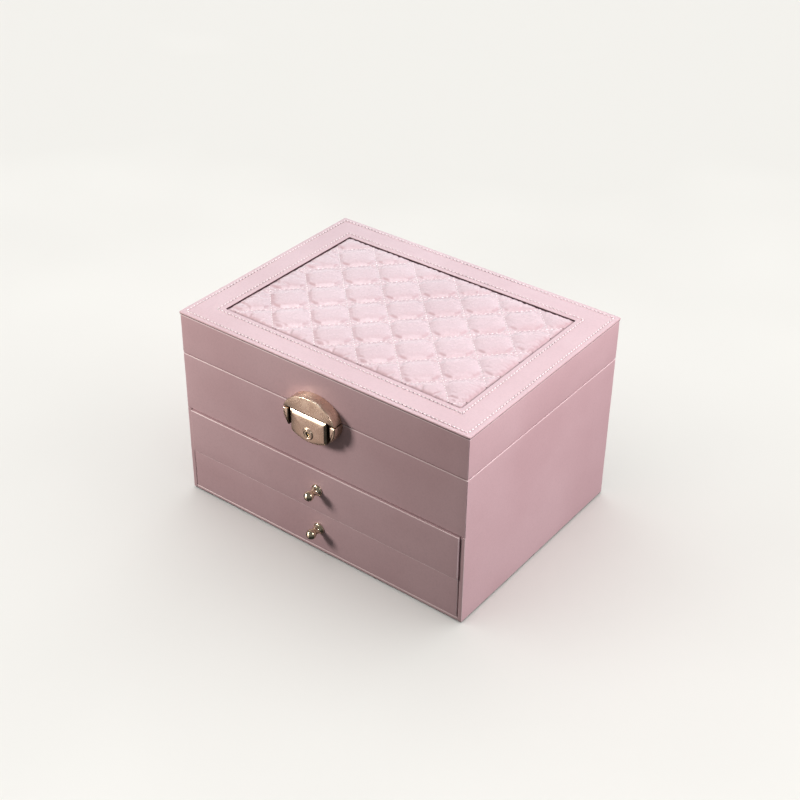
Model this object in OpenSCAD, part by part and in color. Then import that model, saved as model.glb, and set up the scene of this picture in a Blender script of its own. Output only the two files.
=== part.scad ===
// Jewellery chest: quilted lid on a rear hinge, top compartment, two drawers and an oval lock.
// Millimetres. Origin: centre of the footprint on the floor. +X right, +Y back, +Z up.

/* [Chest] */
// Width over the side panels
chest_w = 230; // [180:1:320]
// Depth from the front face to the back face
chest_d = 171; // [140:1:240]
// Height from the floor to the top of the lid's frame
chest_h = 143; // [130:1:200]
// Thickness of the wrapped board of the walls
wall = 3; // [2.5:0.1:5]
// Thickness of the felt sheet that the chest stands on
felt_t = 0.8; // [0.5:0.1:2]
// How far the felt stays inside the outline
felt_inset = 4; // [2:0.5:12]
// Thickness of the base board
base_t = 2.4; // [1.5:0.1:5]

/* [Lid] */
// Height of the lid from its lower edge to its top
lid_h = 31.2; // [24:0.2:45]
// Gap between the lid's lower edge and the walls below it
seam_gap = 0.4; // [0.2:0.1:1]
// Thickness of the frame on top of the lid
frame_t = 2; // [1:0.1:4]
// How far the frame stands out past the lid's boards
frame_over = 0.5; // [0:0.1:2]
// Width of the frame around the quilted pad
border_w = 21; // [12:0.5:40]
// Thickness of the board behind the pad
backing_t = 2; // [1:0.1:4]
// Thickness of the quilted pad at its crown
pad_t = 3.2; // [2:0.1:8]
// Gap between the pad and the frame around it
pad_gap = 0.3; // [0.2:0.1:1]
// Thickness of the mirror
mirror_t = 2; // [1:0.1:3]
// Thickness of the velvet board around the mirror
surround_t = 2.4; // [1.5:0.1:5]
// Width of the velvet board around the mirror
surround_w = 30; // [12:1:45]

/* [Drawers] */
// Height of the lower drawer's front
lower_front_h = 30; // [20:0.5:36]
// Height of the upper drawer's front
upper_front_h = 33.4; // [20:0.2:40]
// Gap above and below a drawer's front
front_gap = 0.5; // [0.3:0.1:1]
// Gap beside a drawer's front
front_side_gap = 0.7; // [0.3:0.1:1.5]
// Thickness of a drawer's front
front_t = 3.2; // [2.5:0.1:6]
// How far the upper drawer's front stands out of the chest
upper_proud = 1.4; // [0:0.1:2.5]
// How far the lower drawer's front stands out of the chest
lower_proud = 0.3; // [0:0.1:2.5]
// Thickness of a drawer's side, back and bottom boards
drawer_board = 2; // [1.5:0.1:4]
// Sliding clearance around a drawer's box
slide_gap = 0.6; // [0.3:0.1:1.2]
// Space behind a drawer's back board
back_gap = 2; // [1:0.5:10]
// Thickness of the shelf between the drawers
shelf_t = 2; // [1.2:0.1:4]
// Dividers in the upper drawer
upper_dividers = 2; // [1:1:4]
// Dividers in the lower drawer
lower_dividers = 1; // [1:1:4]

/* [Compartment] */
// Thickness of the compartment's floor board
floor_t = 2.4; // [1.5:0.1:5]
// Thickness of the lined board inside the compartment's walls
lining_t = 1.5; // [1.2:0.1:3]
// Thickness of a velvet skin
velvet_t = 0.8; // [0.5:0.1:1.5]
// How far the compartment's lining rises into the lid
lip_h = 3; // [2:0.5:6]
// Clearance between that lip and the lid
lip_gap = 0.5; // [0.3:0.1:1]
// Thickness of a divider
divider_t = 2.4; // [1.5:0.1:5]
// How far a divider stays below the top of the walls
divider_drop = 5; // [2:0.5:15]
// Distance of the long divider from the middle of the chest
long_divider_x = -6; // [-40:1:40]
// Ring rolls
roll_count = 5; // [5:1:5]
// Distance between the centres of two ring rolls
roll_pitch = 13; // [9:0.5:18]
// Height of a ring roll
roll_h = 26; // [14:0.5:32]

/* [Knobs] */
// Diameter of a knob's ball
knob_d = 7; // [5:0.5:12]
// Distance of the ball's centre from the drawer's front
knob_reach = 8; // [6:0.5:14]
// Diameter of a knob's neck
knob_neck_d = 4; // [3.6:0.1:5]
// Diameter of a knob's flange
knob_flange_d = 8.5; // [7.8:0.5:14]
// Thickness of a knob's flange
knob_flange_t = 1.5; // [1:0.1:3]
// How far a knob sits above the middle of its drawer's front
knob_rise = 1; // [-3:0.5:3]

/* [Lock] */
// Width of the oval lock
lock_w = 42; // [38:0.5:60]
// Height of the oval lock
lock_h = 32.4; // [30:0.2:44]
// How far the lock stands out of the chest
lock_t = 8; // [8:0.1:12]
// How far the lock's middle lies below the lid's lower edge
lock_drop = 2.3; // [1:0.1:3]
// Width of the sliding shield
shield_w = 29; // [24:0.5:30]
// How far the shield rises past the lid's lower edge
shield_rise = 1.8; // [1:0.1:3]
// How far the shield's face stands out past the cap's face
shield_proud = 0.9; // [0:0.1:1.5]
// How far the cap's lower edge lies above the lid's lower edge
cap_rise = 1.1; // [0.8:0.1:1.4]
// How far the wings rise past the top of the walls
wing_rise = 0.6; // [0:0.1:0.6]
// Thickness of the shield
shield_t = 3.2; // [2.5:0.1:4]
// Width of the open slot at each side of the shield
slot_w = 2.3; // [1:0.1:3]
// Travel of the shield
press = 3; // [2:0.5:3]
// How far the lock barrel lies below the lock's middle
barrel_drop = 9.1; // [8:0.1:9.5]
// Diameter of the lock barrel
barrel_d = 5.2; // [4.6:0.1:5.6]

/* [Hinges] */
// Distance of a hinge from the middle of the chest
hinge_x = 62; // [40:1:80]
// Width of a hinge
hinge_w = 26; // [20:1:36]
// Height of a hinge's leaf beyond its knuckles
leaf_h = 12; // [10:0.5:16]
// Thickness of a hinge's leaf
leaf_t = 0.8; // [0.6:0.1:1.2]
// Diameter of a hinge's knuckles
knuckle_d = 4.4; // [3.6:0.1:6]
// Diameter of a hinge's pin
pin_d = 2; // [1.6:0.1:2.4]

/* [Hidden] */
ROLLS = [for (i = [1 : roll_count]) str("ring_roll_", i)];
$fn = 48;
// Overshoot of a cut past the face that it opens
cut = 0.5;

// Colours of the leatherette, the velvet and the metal
PINK = "#e4c6cd";
VELVET = "#ecd9da";
GOLD = "#cdb88f";
STEEL = "#b9b9bd";

// Outline and levels of the chest
half_w = chest_w / 2;
half_d = chest_d / 2;
in_x = half_w - wall;
in_y = half_d - wall;
base_top = felt_t + base_t;
lower_front_z = base_top + front_gap;
upper_front_z = lower_front_z + lower_front_h + front_gap;
apron_z = upper_front_z + upper_front_h + front_gap;
shelf_z = upper_front_z - front_gap / 2 - shelf_t / 2;
lid_z = chest_h - lid_h;
body_top = lid_z - seam_gap;
rim_top = chest_h - frame_t;
backing_z = rim_top - backing_t;

// A fixing screw: its radii, its clearance and its recessed head
screw_r = 0.95;
screw_fit = 0.05;
head_r = 1.9;
head_t = 1.1;
head_gap = 0.1;

// A box from its low corner to its high corner
module span(low, high) {
    translate(low)
        cube(high - low);
}

// A box centred on x = 0 and y = 0
module centred(half_x, half_y, z0, z1) {
    span([-half_x, -half_y, z0], [half_x, half_y, z1]);
}

// A cylinder that runs out of the chest's front, from depth a to depth b in front of it
module rod(x, z, r, a, b) {
    translate([x, -half_d - a, z])
        rotate([90, 0, 0])
            cylinder(r = r, h = b - a);
}

// Four boards of a rim, each mitred at both ends. side: 0 front, 1 right, 2 back, 3 left
module rim_board(side, z0, z1) {
    outer = [[-half_w, -half_d], [half_w, -half_d], [half_w, half_d], [-half_w, half_d]];
    inner = [[-in_x, -in_y], [in_x, -in_y], [in_x, in_y], [-in_x, in_y]];
    next = (side + 1) % 4;
    translate([0, 0, z0])
        linear_extrude(z1 - z0)
            polygon([outer[side], outer[next], inner[next], inner[side]]);
}

// ---- Carcass ----

module base_felt() {
    color("#8d8487")
        centred(half_w - felt_inset, half_d - felt_inset, 0, felt_t);
}

// The base board lies between the side panels and under the back panel's line
module base_panel() {
    color(PINK)
        span([-in_x, -half_d, felt_t], [in_x, in_y, base_top]);
}

// A side panel is square at the drawers and mitred to the apron above them
module side_panel(right) {
    s = right ? 1 : -1;
    low = right ? in_x : -half_w;
    high = right ? half_w : -in_x;
    color(PINK) {
        span([low, -half_d, felt_t], [high, half_d, apron_z]);
        translate([0, 0, apron_z])
            linear_extrude(body_top - apron_z)
                polygon([[s * half_w, -half_d], [s * half_w, half_d], [s * in_x, half_d],
                    [s * in_x, -in_y]]);
    }
}

module back_panel() {
    color(PINK)
        difference() {
            span([-in_x, in_y, felt_t], [in_x, half_d, body_top]);
            hinge_screws(-1, screw_r + screw_fit);
        }
}

module front_apron() {
    color(PINK)
        difference() {
            rim_board(0, apron_z, body_top);
            board_screws(lock_screw_x, lock_screw_z, screw_fit, cut);
        }
}

module compartment_floor() {
    color(PINK)
        centred(in_x, in_y, apron_z, apron_z + floor_t);
}

// The shelf stops behind both drawer fronts
module drawer_shelf() {
    front = -half_d - min(upper_proud, lower_proud) + front_t + slide_gap;
    color(PINK)
        span([-in_x, front, shelf_z], [in_x, in_y, shelf_z + shelf_t]);
}

// ---- Top compartment ----

floor_z = apron_z + floor_t;
liner_x = in_x - lining_t;
liner_y = in_y - lining_t;
divider_z = floor_z + velvet_t;
divider_top = body_top - divider_drop;
// Fit of a divider or a roll between the walls
loose = 0.2;

// Velvet-covered lining with a lip that rises into the lid
module compartment_liner() {
    color(VELVET)
        difference() {
            union() {
                centred(in_x, in_y, floor_z, body_top);
                centred(in_x - lip_gap, in_y - lip_gap, body_top - cut, body_top + lip_h);
            }
            centred(liner_x, liner_y, divider_z, body_top + lip_h + cut);
        }
}

module long_divider() {
    x = long_divider_x;
    y = liner_y - loose;
    color(VELVET)
        span([x - divider_t / 2, -y, divider_z], [x + divider_t / 2, y, divider_top]);
}

// The ring rolls fill the back of the left half
roll_x0 = -liner_x + loose;
roll_x1 = long_divider_x - divider_t / 2 - loose;
roll_r = roll_pitch / 2 - loose;
rolls_y = liner_y - roll_count * roll_pitch - loose;

module left_cross_divider() {
    y = rolls_y;
    color(VELVET)
        span([roll_x0, y - divider_t, divider_z], [roll_x1, y, divider_top]);
}

module right_cross_divider() {
    x = long_divider_x + divider_t / 2 + loose;
    color(VELVET)
        span([x, -divider_t / 2, divider_z], [liner_x - loose, divider_t / 2, divider_top]);
}

// Foam roll with a rounded top, counted from the back
module ring_roll(n) {
    y = liner_y - (n - 0.5) * roll_pitch;
    color(VELVET) {
        span([roll_x0, y - roll_r, divider_z], [roll_x1, y + roll_r, divider_z + roll_h - roll_r]);
        translate([roll_x0, y, divider_z + roll_h - roll_r])
            rotate([0, 90, 0])
                cylinder(r = roll_r, h = roll_x1 - roll_x0);
    }
}

// ---- Hinges ----

hinge_z = lid_z - seam_gap / 2;
knuckle_r = knuckle_d / 2;
pin_r = pin_d / 2;
hinge_off = 0.2;
hinge_y = half_d + hinge_off + knuckle_r;
knuckle_gap = 0.3;
pin_fit = 0.05;
middle_w = hinge_w * 0.38;
hinge_screw_x = hinge_w * 0.3;
hinge_screw_z = knuckle_r + leaf_h * 0.55;
hinge_screw_len = 2;
// Height of a screw's head on a leaf
pan_t = 0.7;

// A cylinder along X, centred on the hinge line
module knuckle(x0, x1, r) {
    translate([x0, hinge_y, hinge_z])
        rotate([0, 90, 0])
            cylinder(r = r, h = x1 - x0);
}

// Centres of a leaf's screws: up is 1 on the lid and -1 on the chest
module at_hinge_screws(up) {
    for (side = [-1, 1], end = [-1, 1])
        translate([side * hinge_x + end * hinge_screw_x, half_d, hinge_z + up * hinge_screw_z])
            rotate([-90, 0, 0])
                children();
}

// Shanks of a leaf's screws, from inside the board to the back of the head
module hinge_screws(up, r) {
    at_hinge_screws(up)
        translate([0, 0, -hinge_screw_len])
            cylinder(r = r, h = hinge_screw_len + leaf_t);
}

module hinge_heads(up) {
    at_hinge_screws(up)
        translate([0, 0, leaf_t])
            cylinder(r = head_r, h = pan_t);
}

// The chest's leaf has the outer knuckles and the lid's leaf has the middle one
module hinge_leaf(side, up) {
    low_x = side * hinge_x - hinge_w / 2;
    high_x = low_x + hinge_w;
    mid_0 = side * hinge_x - middle_w / 2;
    mid_1 = mid_0 + middle_w;
    clear = knuckle_r + knuckle_gap;
    z0 = up > 0 ? hinge_z + clear : hinge_z - knuckle_r - leaf_h;
    z1 = up > 0 ? hinge_z + knuckle_r + leaf_h : hinge_z - clear;
    root_0 = up > 0 ? hinge_z : hinge_z - clear - cut;
    root_1 = up > 0 ? hinge_z + clear + cut : hinge_z;
    spans = up > 0 ? [[mid_0, mid_1]]
        : [[low_x, mid_0 - knuckle_gap], [mid_1 + knuckle_gap, high_x]];
    bore = up > 0 ? pin_r + pin_fit : pin_r + pin_fit / 2;
    color(GOLD)
        difference() {
            union() {
                span([low_x, half_d, z0], [high_x, half_d + leaf_t, z1]);
                for (s = spans) {
                    span([s[0], half_d, root_0], [s[1], half_d + leaf_t, root_1]);
                    knuckle(s[0], s[1], knuckle_r);
                }
            }
            knuckle(low_x - cut, high_x + cut, bore);
            hinge_screws(up, screw_r + screw_fit);
        }
}

module hinge_pins() {
    color(GOLD)
        for (side = [-1, 1])
            knuckle(side * hinge_x - hinge_w / 2 - cut, side * hinge_x + hinge_w / 2 + cut, pin_r);
}

module hinge_screw_set(up) {
    color(GOLD) {
        hinge_screws(up, screw_r);
        hinge_heads(up);
    }
}

// ---- Lock ----

lock_z = lid_z - lock_drop;
lock_a = lock_w / 2;
lock_b = lock_h / 2;
oval_points = 96;
plate_t = 1.2;
rim_t = 1.4;
shield_back = lock_t - shield_t;
shield_top = shield_rise + lock_drop;
shield_face = lock_t + shield_proud;
base_v = body_top - lock_z;
wing_v = base_v + wing_rise;
cap_v = lock_drop + cap_rise;
notch_gap = 0.35;
wing_x = shield_w / 2 + slot_w;
barrel_r = barrel_d / 2;
barrel_fit = 0.05;
barrel_z = lock_z - barrel_drop;
boss_r = barrel_r + 1.5;
boss_t = 0.8;
flange_x = wing_x + 0.6;
flange_t = 1;
flange_gap = 0.2;
flange_low = -6;
flange_high = 1;
hook_half = 5;
hook_t = 1.2;
hook_out = 2.2;
hook_low = -4.5;
hook_top = 10.5;
hook_foot = 3.5;
cam_t = 1;
cam_out = hook_out + 0.4;
cam_len = 3.6;
cam_half = 1.1;
tail_r = 1;
spring_x = 10;
spring_r = 1.3;
spring_wall = 0.35;
spring_out = 2.9;
spring_low = -11;
lug_half = 2;
lug_t = 1.2;
lock_screw_x = wing_x + 1.9;
lock_screw_z = lock_z - 3.6;
cap_screw_x = 9.5;
cap_screw_z = lock_z + 9.5;
lock_screw_len = 2.4;

// Points of an oval around the lock's middle, less an inset
function oval(inset) = [for (i = [0 : oval_points - 1])
    [(lock_a - inset) * cos(360 * i / oval_points), (lock_b - inset) * sin(360 * i / oval_points)]];

// Carries a flat outline, drawn around the lock's middle, from depth a to depth b
module out(a, b) {
    translate([0, -half_d - a, lock_z])
        rotate([90, 0, 0])
            linear_extrude(b - a)
                children();
}

// Rectangle between two corners
module rect(low, high) {
    translate(low)
        square(high - low);
}

// The part of the oval between two heights
module oval_band(low, high) {
    intersection() {
        polygon(oval(0));
        rect([-lock_a - cut, low], [lock_a + cut, high]);
    }
}

// Two screws from the inside of a front board into the lock, heads sunk in the board
module board_screws(x, z, fit, mouth) {
    for (side = [-1, 1]) {
        rod(side * x, z, screw_r + fit, -wall, lock_screw_len);
        rod(side * x, z, head_r + fit, -wall - mouth, -wall + head_t + (fit > 0 ? head_gap : 0));
    }
}

// Backplate, oval rim and the two wings that guide the shield
module lock_base() {
    color(GOLD)
        difference() {
            union() {
                out(0, plate_t)
                    oval_band(-lock_b, base_v);
                out(0, shield_back - flange_gap)
                    difference() {
                        oval_band(-lock_b, base_v);
                        polygon(oval(rim_t));
                    }
                out(0, lock_t)
                    for (side = [0, 1])
                        mirror([side, 0])
                            intersection() {
                                oval_band(-lock_b, wing_v);
                                rect([wing_x, -lock_b], [lock_a, wing_v]);
                            }
                for (side = [-1, 1])
                    out(0, shield_back - flange_gap)
                        rect([side * spring_x - lug_half, spring_low - lug_t],
                            [side * spring_x + lug_half, spring_low]);
            }
            out(shield_back - flange_gap, shield_back + flange_t + flange_gap)
                rect([-flange_x - flange_gap, -lock_b], [flange_x + flange_gap, wing_v + cut]);
            board_screws(lock_screw_x, lock_screw_z, screw_fit, cut);
        }
}

module lock_base_screws() {
    color(STEEL)
        board_screws(lock_screw_x, lock_screw_z, 0, 0);
}

// Shield that slides down, with its guide flange, spring lugs and the boss around the barrel
module lock_button() {
    color(GOLD)
        difference() {
            union() {
                out(shield_back, shield_face)
                    intersection() {
                        oval_band(-lock_b, shield_top);
                        rect([-shield_w / 2, -lock_b], [shield_w / 2, shield_top]);
                    }
                out(shield_back, shield_back + flange_t)
                    rect([-flange_x, flange_low], [flange_x, flange_high]);
                for (side = [-1, 1])
                    out(plate_t + flange_gap, shield_back + cut)
                        rect([side * spring_x - lug_half, flange_low],
                            [side * spring_x + lug_half, flange_low + lug_t]);
                rod(0, barrel_z, boss_r, shield_face - cut, shield_face + boss_t);
            }
            rod(0, barrel_z, barrel_r + barrel_fit, shield_back - cut, shield_face + boss_t + cut);
        }
}

// Barrel with a ring-shaped keyhole around its pin, and a slot below it
module lock_barrel() {
    key_r = 1.4;
    key_pin_r = 0.55;
    key_slot = 0.4;
    key_depth = 4;
    face = shield_face + boss_t - 0.3;
    color(GOLD) {
        difference() {
            rod(0, barrel_z, barrel_r, cam_out + cam_t, face);
            rod(0, barrel_z, key_r, face - key_depth, face + cut);
            span([-key_slot, -half_d - face - cut, barrel_z - key_r - 0.8],
                [key_slot, -half_d - face + key_depth, barrel_z]);
        }
        rod(0, barrel_z, key_pin_r, face - key_depth - cut, face - 0.4);
        rod(0, barrel_z, tail_r, cam_out - 0.2, cam_out + cam_t + cut);
    }
}

module lock_cam() {
    color(STEEL)
        difference() {
            union() {
                rod(0, barrel_z, tail_r + 0.9, cam_out, cam_out + cam_t);
                span([0, -half_d - cam_out - cam_t, barrel_z - cam_half],
                    [cam_len, -half_d - cam_out, barrel_z + cam_half]);
            }
            rod(0, barrel_z, tail_r, cam_out - cut, cam_out + cam_t + cut);
        }
}

module lock_springs() {
    length = flange_low - spring_low;
    color(STEEL)
        for (side = [-1, 1])
            translate([side * spring_x, -half_d - spring_out, lock_z + spring_low])
                difference() {
                    cylinder(r = spring_r, h = length);
                    translate([0, 0, -cut])
                        cylinder(r = spring_r - spring_wall, h = length + 2 * cut);
                }
}

// Cap on the lid, notched in front for the shield and hollowed behind for the hook
module lock_cap() {
    color(GOLD)
        difference() {
            out(0, lock_t)
                oval_band(cap_v, lock_b);
            out(shield_back - notch_gap, lock_t + cut)
                rect([-shield_w / 2 - notch_gap, cap_v - cut],
                    [shield_w / 2 + notch_gap, shield_top + notch_gap]);
            out(-cut, hook_out + hook_t)
                rect([-hook_half, cap_v - cut], [hook_half, hook_top]);
            board_screws(cap_screw_x, cap_screw_z, screw_fit, cut);
        }
}

module lock_hook() {
    color(STEEL) {
        out(hook_out, hook_out + hook_t)
            rect([-hook_half, hook_low], [hook_half, hook_top]);
        out(0, hook_out + cut)
            rect([-hook_half, hook_foot], [hook_half, hook_top]);
    }
}

module lock_cap_screws() {
    color(STEEL)
        board_screws(cap_screw_x, cap_screw_z, 0, 0);
}

// ---- Lid ----

module lid_front() {
    color(PINK)
        difference() {
            rim_board(0, lid_z, rim_top);
            board_screws(cap_screw_x, cap_screw_z, screw_fit, cut);
        }
}

module lid_right() {
    color(PINK)
        rim_board(1, lid_z, rim_top);
}

module lid_back() {
    color(PINK)
        difference() {
            rim_board(2, lid_z, rim_top);
            hinge_screws(1, screw_r + screw_fit);
        }
}

module lid_left() {
    color(PINK)
        rim_board(3, lid_z, rim_top);
}

module lid_top_frame() {
    color(PINK)
        difference() {
            centred(half_w + frame_over, half_d + frame_over, rim_top, chest_h);
            centred(half_w - border_w, half_d - border_w, rim_top - cut, chest_h + cut);
        }
}

module lid_backing_board() {
    color(PINK)
        centred(in_x, in_y, backing_z, rim_top);
}

module quilted_pad() {
    color(PINK)
        centred(half_w - border_w - pad_gap, half_d - border_w - pad_gap, rim_top,
            rim_top + pad_t);
}

mirror_x = in_x - surround_w;
mirror_y = in_y - surround_w;

// Velvet skin on the inner faces of the lid's rim, above the lip
module lid_liner() {
    z0 = body_top + lip_h + lip_gap;
    color(VELVET)
        difference() {
            centred(in_x, in_y, z0, backing_z);
            centred(in_x - velvet_t, in_y - velvet_t, z0 - cut, backing_z + cut);
        }
}

module mirror_surround() {
    color(VELVET)
        difference() {
            centred(in_x - velvet_t, in_y - velvet_t, backing_z - surround_t, backing_z);
            centred(mirror_x + loose, mirror_y + loose, backing_z - surround_t - cut,
                backing_z + cut);
        }
}

module mirror_glass() {
    color("#dfe6ea")
        centred(mirror_x, mirror_y, backing_z - mirror_t, backing_z);
}

// ---- Drawers ----

box_x = in_x - slide_gap;
box_back = in_y - back_gap;
box_rise = 0.2;

// The drawers' values: [front's low edge, front's height, proud, box's low edge, box's top, dividers]
LOWER = [lower_front_z, lower_front_h, lower_proud, base_top + box_rise, shelf_z - slide_gap,
    lower_dividers];
UPPER = [upper_front_z, upper_front_h, upper_proud, shelf_z + shelf_t + box_rise,
    apron_z - 2 * slide_gap, upper_dividers];

function front_y(d) = -half_d - d[2];
function box_y(d) = front_y(d) + front_t;
function knob_z(d) = d[0] + d[1] / 2 + knob_rise;

// A cylinder along -Y from distance a to distance b out of a drawer's front face
module front_rod(d, r, a, b) {
    translate([0, front_y(d) - a, knob_z(d)])
        rotate([90, 0, 0])
            cylinder(r = r, h = b - a);
}

knob_screw_r = 1.25;
knob_head_r = 2.6;
knob_head_t = 1.2;
knob_screw_len = 5;

module drawer_front(d) {
    x = in_x - front_side_gap;
    color(PINK)
        difference() {
            span([-x, front_y(d), d[0]], [x, box_y(d), d[0] + d[1]]);
            front_rod(d, knob_screw_r + screw_fit, -front_t - cut, cut);
            front_rod(d, knob_head_r + screw_fit, -front_t - cut,
                -front_t + knob_head_t + head_gap);
        }
}

module drawer_sides(d) {
    color(VELVET)
        for (s = [0, 1])
            mirror([s, 0, 0])
                span([box_x - drawer_board, box_y(d), d[3]], [box_x, box_back, d[4]]);
}

module drawer_back(d) {
    x = box_x - drawer_board;
    color(VELVET)
        span([-x, box_back - drawer_board, d[3]], [x, box_back, d[4]]);
}

module drawer_bottom(d) {
    x = box_x - drawer_board;
    color(VELVET)
        span([-x, box_y(d), d[3]], [x, box_back - drawer_board, d[3] + drawer_board]);
}

// Inner faces of a drawer's lining
function well_x() = box_x - drawer_board - velvet_t;
function well_y0(d) = box_y(d) + velvet_t;
function well_y1() = box_back - drawer_board - velvet_t;
function well_z(d) = d[3] + drawer_board + velvet_t;

module drawer_liner(d) {
    color(VELVET)
        difference() {
            span([-well_x() - velvet_t, box_y(d), d[3] + drawer_board],
                [well_x() + velvet_t, box_back - drawer_board, d[4] - velvet_t]);
            span([-well_x(), well_y0(d), well_z(d)], [well_x(), well_y1(), d[4]]);
        }
}

// Dividers share a drawer's width equally
module drawer_dividers(d) {
    half = divider_t / 2;
    bay = 2 * well_x() / (d[5] + 1);
    color(VELVET)
        for (i = [1 : d[5]])
            span([i * bay - well_x() - half, well_y0(d) + loose, well_z(d)],
                [i * bay - well_x() + half, well_y1() - loose, d[4] - divider_drop]);
}

module drawer_knob(d) {
    color(GOLD)
        difference() {
            union() {
                front_rod(d, knob_flange_d / 2, 0, knob_flange_t);
                front_rod(d, knob_neck_d / 2, 0, knob_reach);
                translate([0, front_y(d) - knob_reach, knob_z(d)])
                    sphere(d = knob_d);
            }
            front_rod(d, knob_screw_r + screw_fit, -cut, knob_screw_len + head_gap);
        }
}

module drawer_knob_screw(d) {
    color(STEEL) {
        front_rod(d, knob_screw_r, -front_t, knob_screw_len);
        front_rod(d, knob_head_r, -front_t, -front_t + knob_head_t);
    }
}

// ---- What is drawn ----

base_felt();
base_panel();
side_panel(false);  // left_side_panel
side_panel(true);  // right_side_panel
back_panel();
front_apron();
compartment_floor();
drawer_shelf();
compartment_liner();
long_divider();
left_cross_divider();
right_cross_divider();
for (i = [1 : roll_count])
    ring_roll(i);
hinge_leaf(-1, -1);  // left_hinge_body_leaf
hinge_leaf(1, -1);  // right_hinge_body_leaf
hinge_pins();
hinge_screw_set(-1);  // hinge_body_screws
lock_base();
lock_base_screws();
lock_springs();
lock_button();
lock_barrel();
lock_cam();
lid_front();
lid_back();
lid_left();
lid_right();
lid_top_frame();
lid_backing_board();
quilted_pad();
lid_liner();
mirror_surround();
mirror_glass();  // mirror
hinge_leaf(-1, 1);  // left_hinge_lid_leaf
hinge_leaf(1, 1);  // right_hinge_lid_leaf
hinge_screw_set(1);  // hinge_lid_screws
lock_cap();
lock_hook();
lock_cap_screws();
drawer_front(UPPER);  // upper_drawer_front
drawer_sides(UPPER);  // upper_drawer_sides
drawer_back(UPPER);  // upper_drawer_back
drawer_bottom(UPPER);  // upper_drawer_bottom
drawer_liner(UPPER);  // upper_drawer_liner
drawer_dividers(UPPER);  // upper_drawer_dividers
drawer_knob(UPPER);  // upper_drawer_knob
drawer_knob_screw(UPPER);  // upper_drawer_knob_screw
drawer_front(LOWER);  // lower_drawer_front
drawer_sides(LOWER);  // lower_drawer_sides
drawer_back(LOWER);  // lower_drawer_back
drawer_bottom(LOWER);  // lower_drawer_bottom
drawer_liner(LOWER);  // lower_drawer_liner
drawer_dividers(LOWER);  // lower_drawer_dividers
drawer_knob(LOWER);  // lower_drawer_knob
drawer_knob_screw(LOWER);  // lower_drawer_knob_screw
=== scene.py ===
import bpy
import bmesh
import numpy as np
from mathutils import Matrix, Vector


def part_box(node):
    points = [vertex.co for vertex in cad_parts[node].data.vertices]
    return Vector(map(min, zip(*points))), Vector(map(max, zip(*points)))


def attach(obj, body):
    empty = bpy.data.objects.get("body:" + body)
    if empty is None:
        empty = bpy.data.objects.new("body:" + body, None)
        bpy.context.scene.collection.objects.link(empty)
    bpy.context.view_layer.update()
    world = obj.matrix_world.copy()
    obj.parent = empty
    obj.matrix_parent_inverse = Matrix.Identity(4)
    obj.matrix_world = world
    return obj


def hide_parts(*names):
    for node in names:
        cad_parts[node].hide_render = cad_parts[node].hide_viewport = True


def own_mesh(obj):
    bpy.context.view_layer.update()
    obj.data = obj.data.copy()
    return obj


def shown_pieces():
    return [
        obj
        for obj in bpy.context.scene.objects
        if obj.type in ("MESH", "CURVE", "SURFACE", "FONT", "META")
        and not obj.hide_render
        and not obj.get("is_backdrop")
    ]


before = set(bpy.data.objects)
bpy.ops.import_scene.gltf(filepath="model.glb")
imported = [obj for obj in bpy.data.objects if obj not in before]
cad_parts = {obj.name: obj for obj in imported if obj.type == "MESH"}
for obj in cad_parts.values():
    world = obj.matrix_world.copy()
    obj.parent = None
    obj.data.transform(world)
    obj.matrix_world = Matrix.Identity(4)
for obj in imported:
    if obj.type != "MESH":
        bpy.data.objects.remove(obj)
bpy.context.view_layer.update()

# ---------------------------------------------------------------------------------------------
# The room: a seamless floor of pale matt card under a dim sky, with four soft boxes and two cards.
# The viewer stands to the right of the chest, looks down on it and holds the camera a little
# tilted. Card has no gloss, and it is painted paler towards the viewer: painted light.

CAMERA_PLACE = Vector((0.4894, -0.6538, 0.6243))
CAMERA_FORWARD = Vector((-0.4969, 0.6651, -0.5574))
CAMERA_UP = Vector((-0.3443, 0.4386, 0.8301))
CAMERA_LENS = 65.5
FLOOR_HALF = 4000
SKY_GLOW, SKY_BELOW, SKY_WALL = 0.19, 0.2, 0.85
DOME_POWER, DOME_ANGLE = 3.45, 178


def linear(colour):
    """An sRGB hex colour as the linear values that a shader takes."""
    c = np.array([int(colour[i:i + 2], 16) for i in (1, 3, 5)]) / 255
    c = np.where(c <= 0.04045, c / 12.92, ((c + 0.055) / 1.055) ** 2.4)
    return (*c.tolist(), 1.0)


def fill(tree, made, inputs):
    """Fills a node's inputs. A value is set on the socket, and a socket is linked to it."""
    for name, value in inputs.items():
        if isinstance(value, bpy.types.NodeSocket):
            tree.links.new(value, made.inputs[name])
        else:
            made.inputs[name].default_value = value


def node(tree, kind, inputs=None, **settings):
    """A new node with its settings and its inputs."""
    new = tree.nodes.new("ShaderNode" + kind)
    for name, value in settings.items():
        setattr(new, name, value)
    fill(tree, new, inputs or {})
    return new


def start_material(name, **values):
    """A new material, its tree, its shader and Object coordinates. values go on the shader's own
    sockets, with _ for a space."""
    made = bpy.data.materials.new(name)
    made.use_nodes = True
    tree = made.node_tree
    shader = tree.nodes["Principled BSDF"]
    for key, value in values.items():
        shader.inputs[key.replace("_", " ")].default_value = value
    return made, tree, shader, node(tree, "TexCoord").outputs["Object"]


def ramp(tree, value, *stops):
    """A colour ramp over value. Each stop is a position and an sRGB hex colour."""
    new = node(tree, "ValToRGB", {"Fac": value})
    points = new.color_ramp.elements
    while len(points) < len(stops):
        points.new(0.5)
    for point, (position, colour) in zip(points, stops):
        point.position, point.color = position, linear(colour)
    return new.outputs["Color"]


def noise(tree, place, scale, detail=2.0, **inputs):
    """A noise over the place, with scale periods to the metre."""
    return node(tree, "TexNoise", {"Vector": place, "Scale": float(scale), "Detail": detail,
                                   **inputs}).outputs["Fac"]


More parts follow.
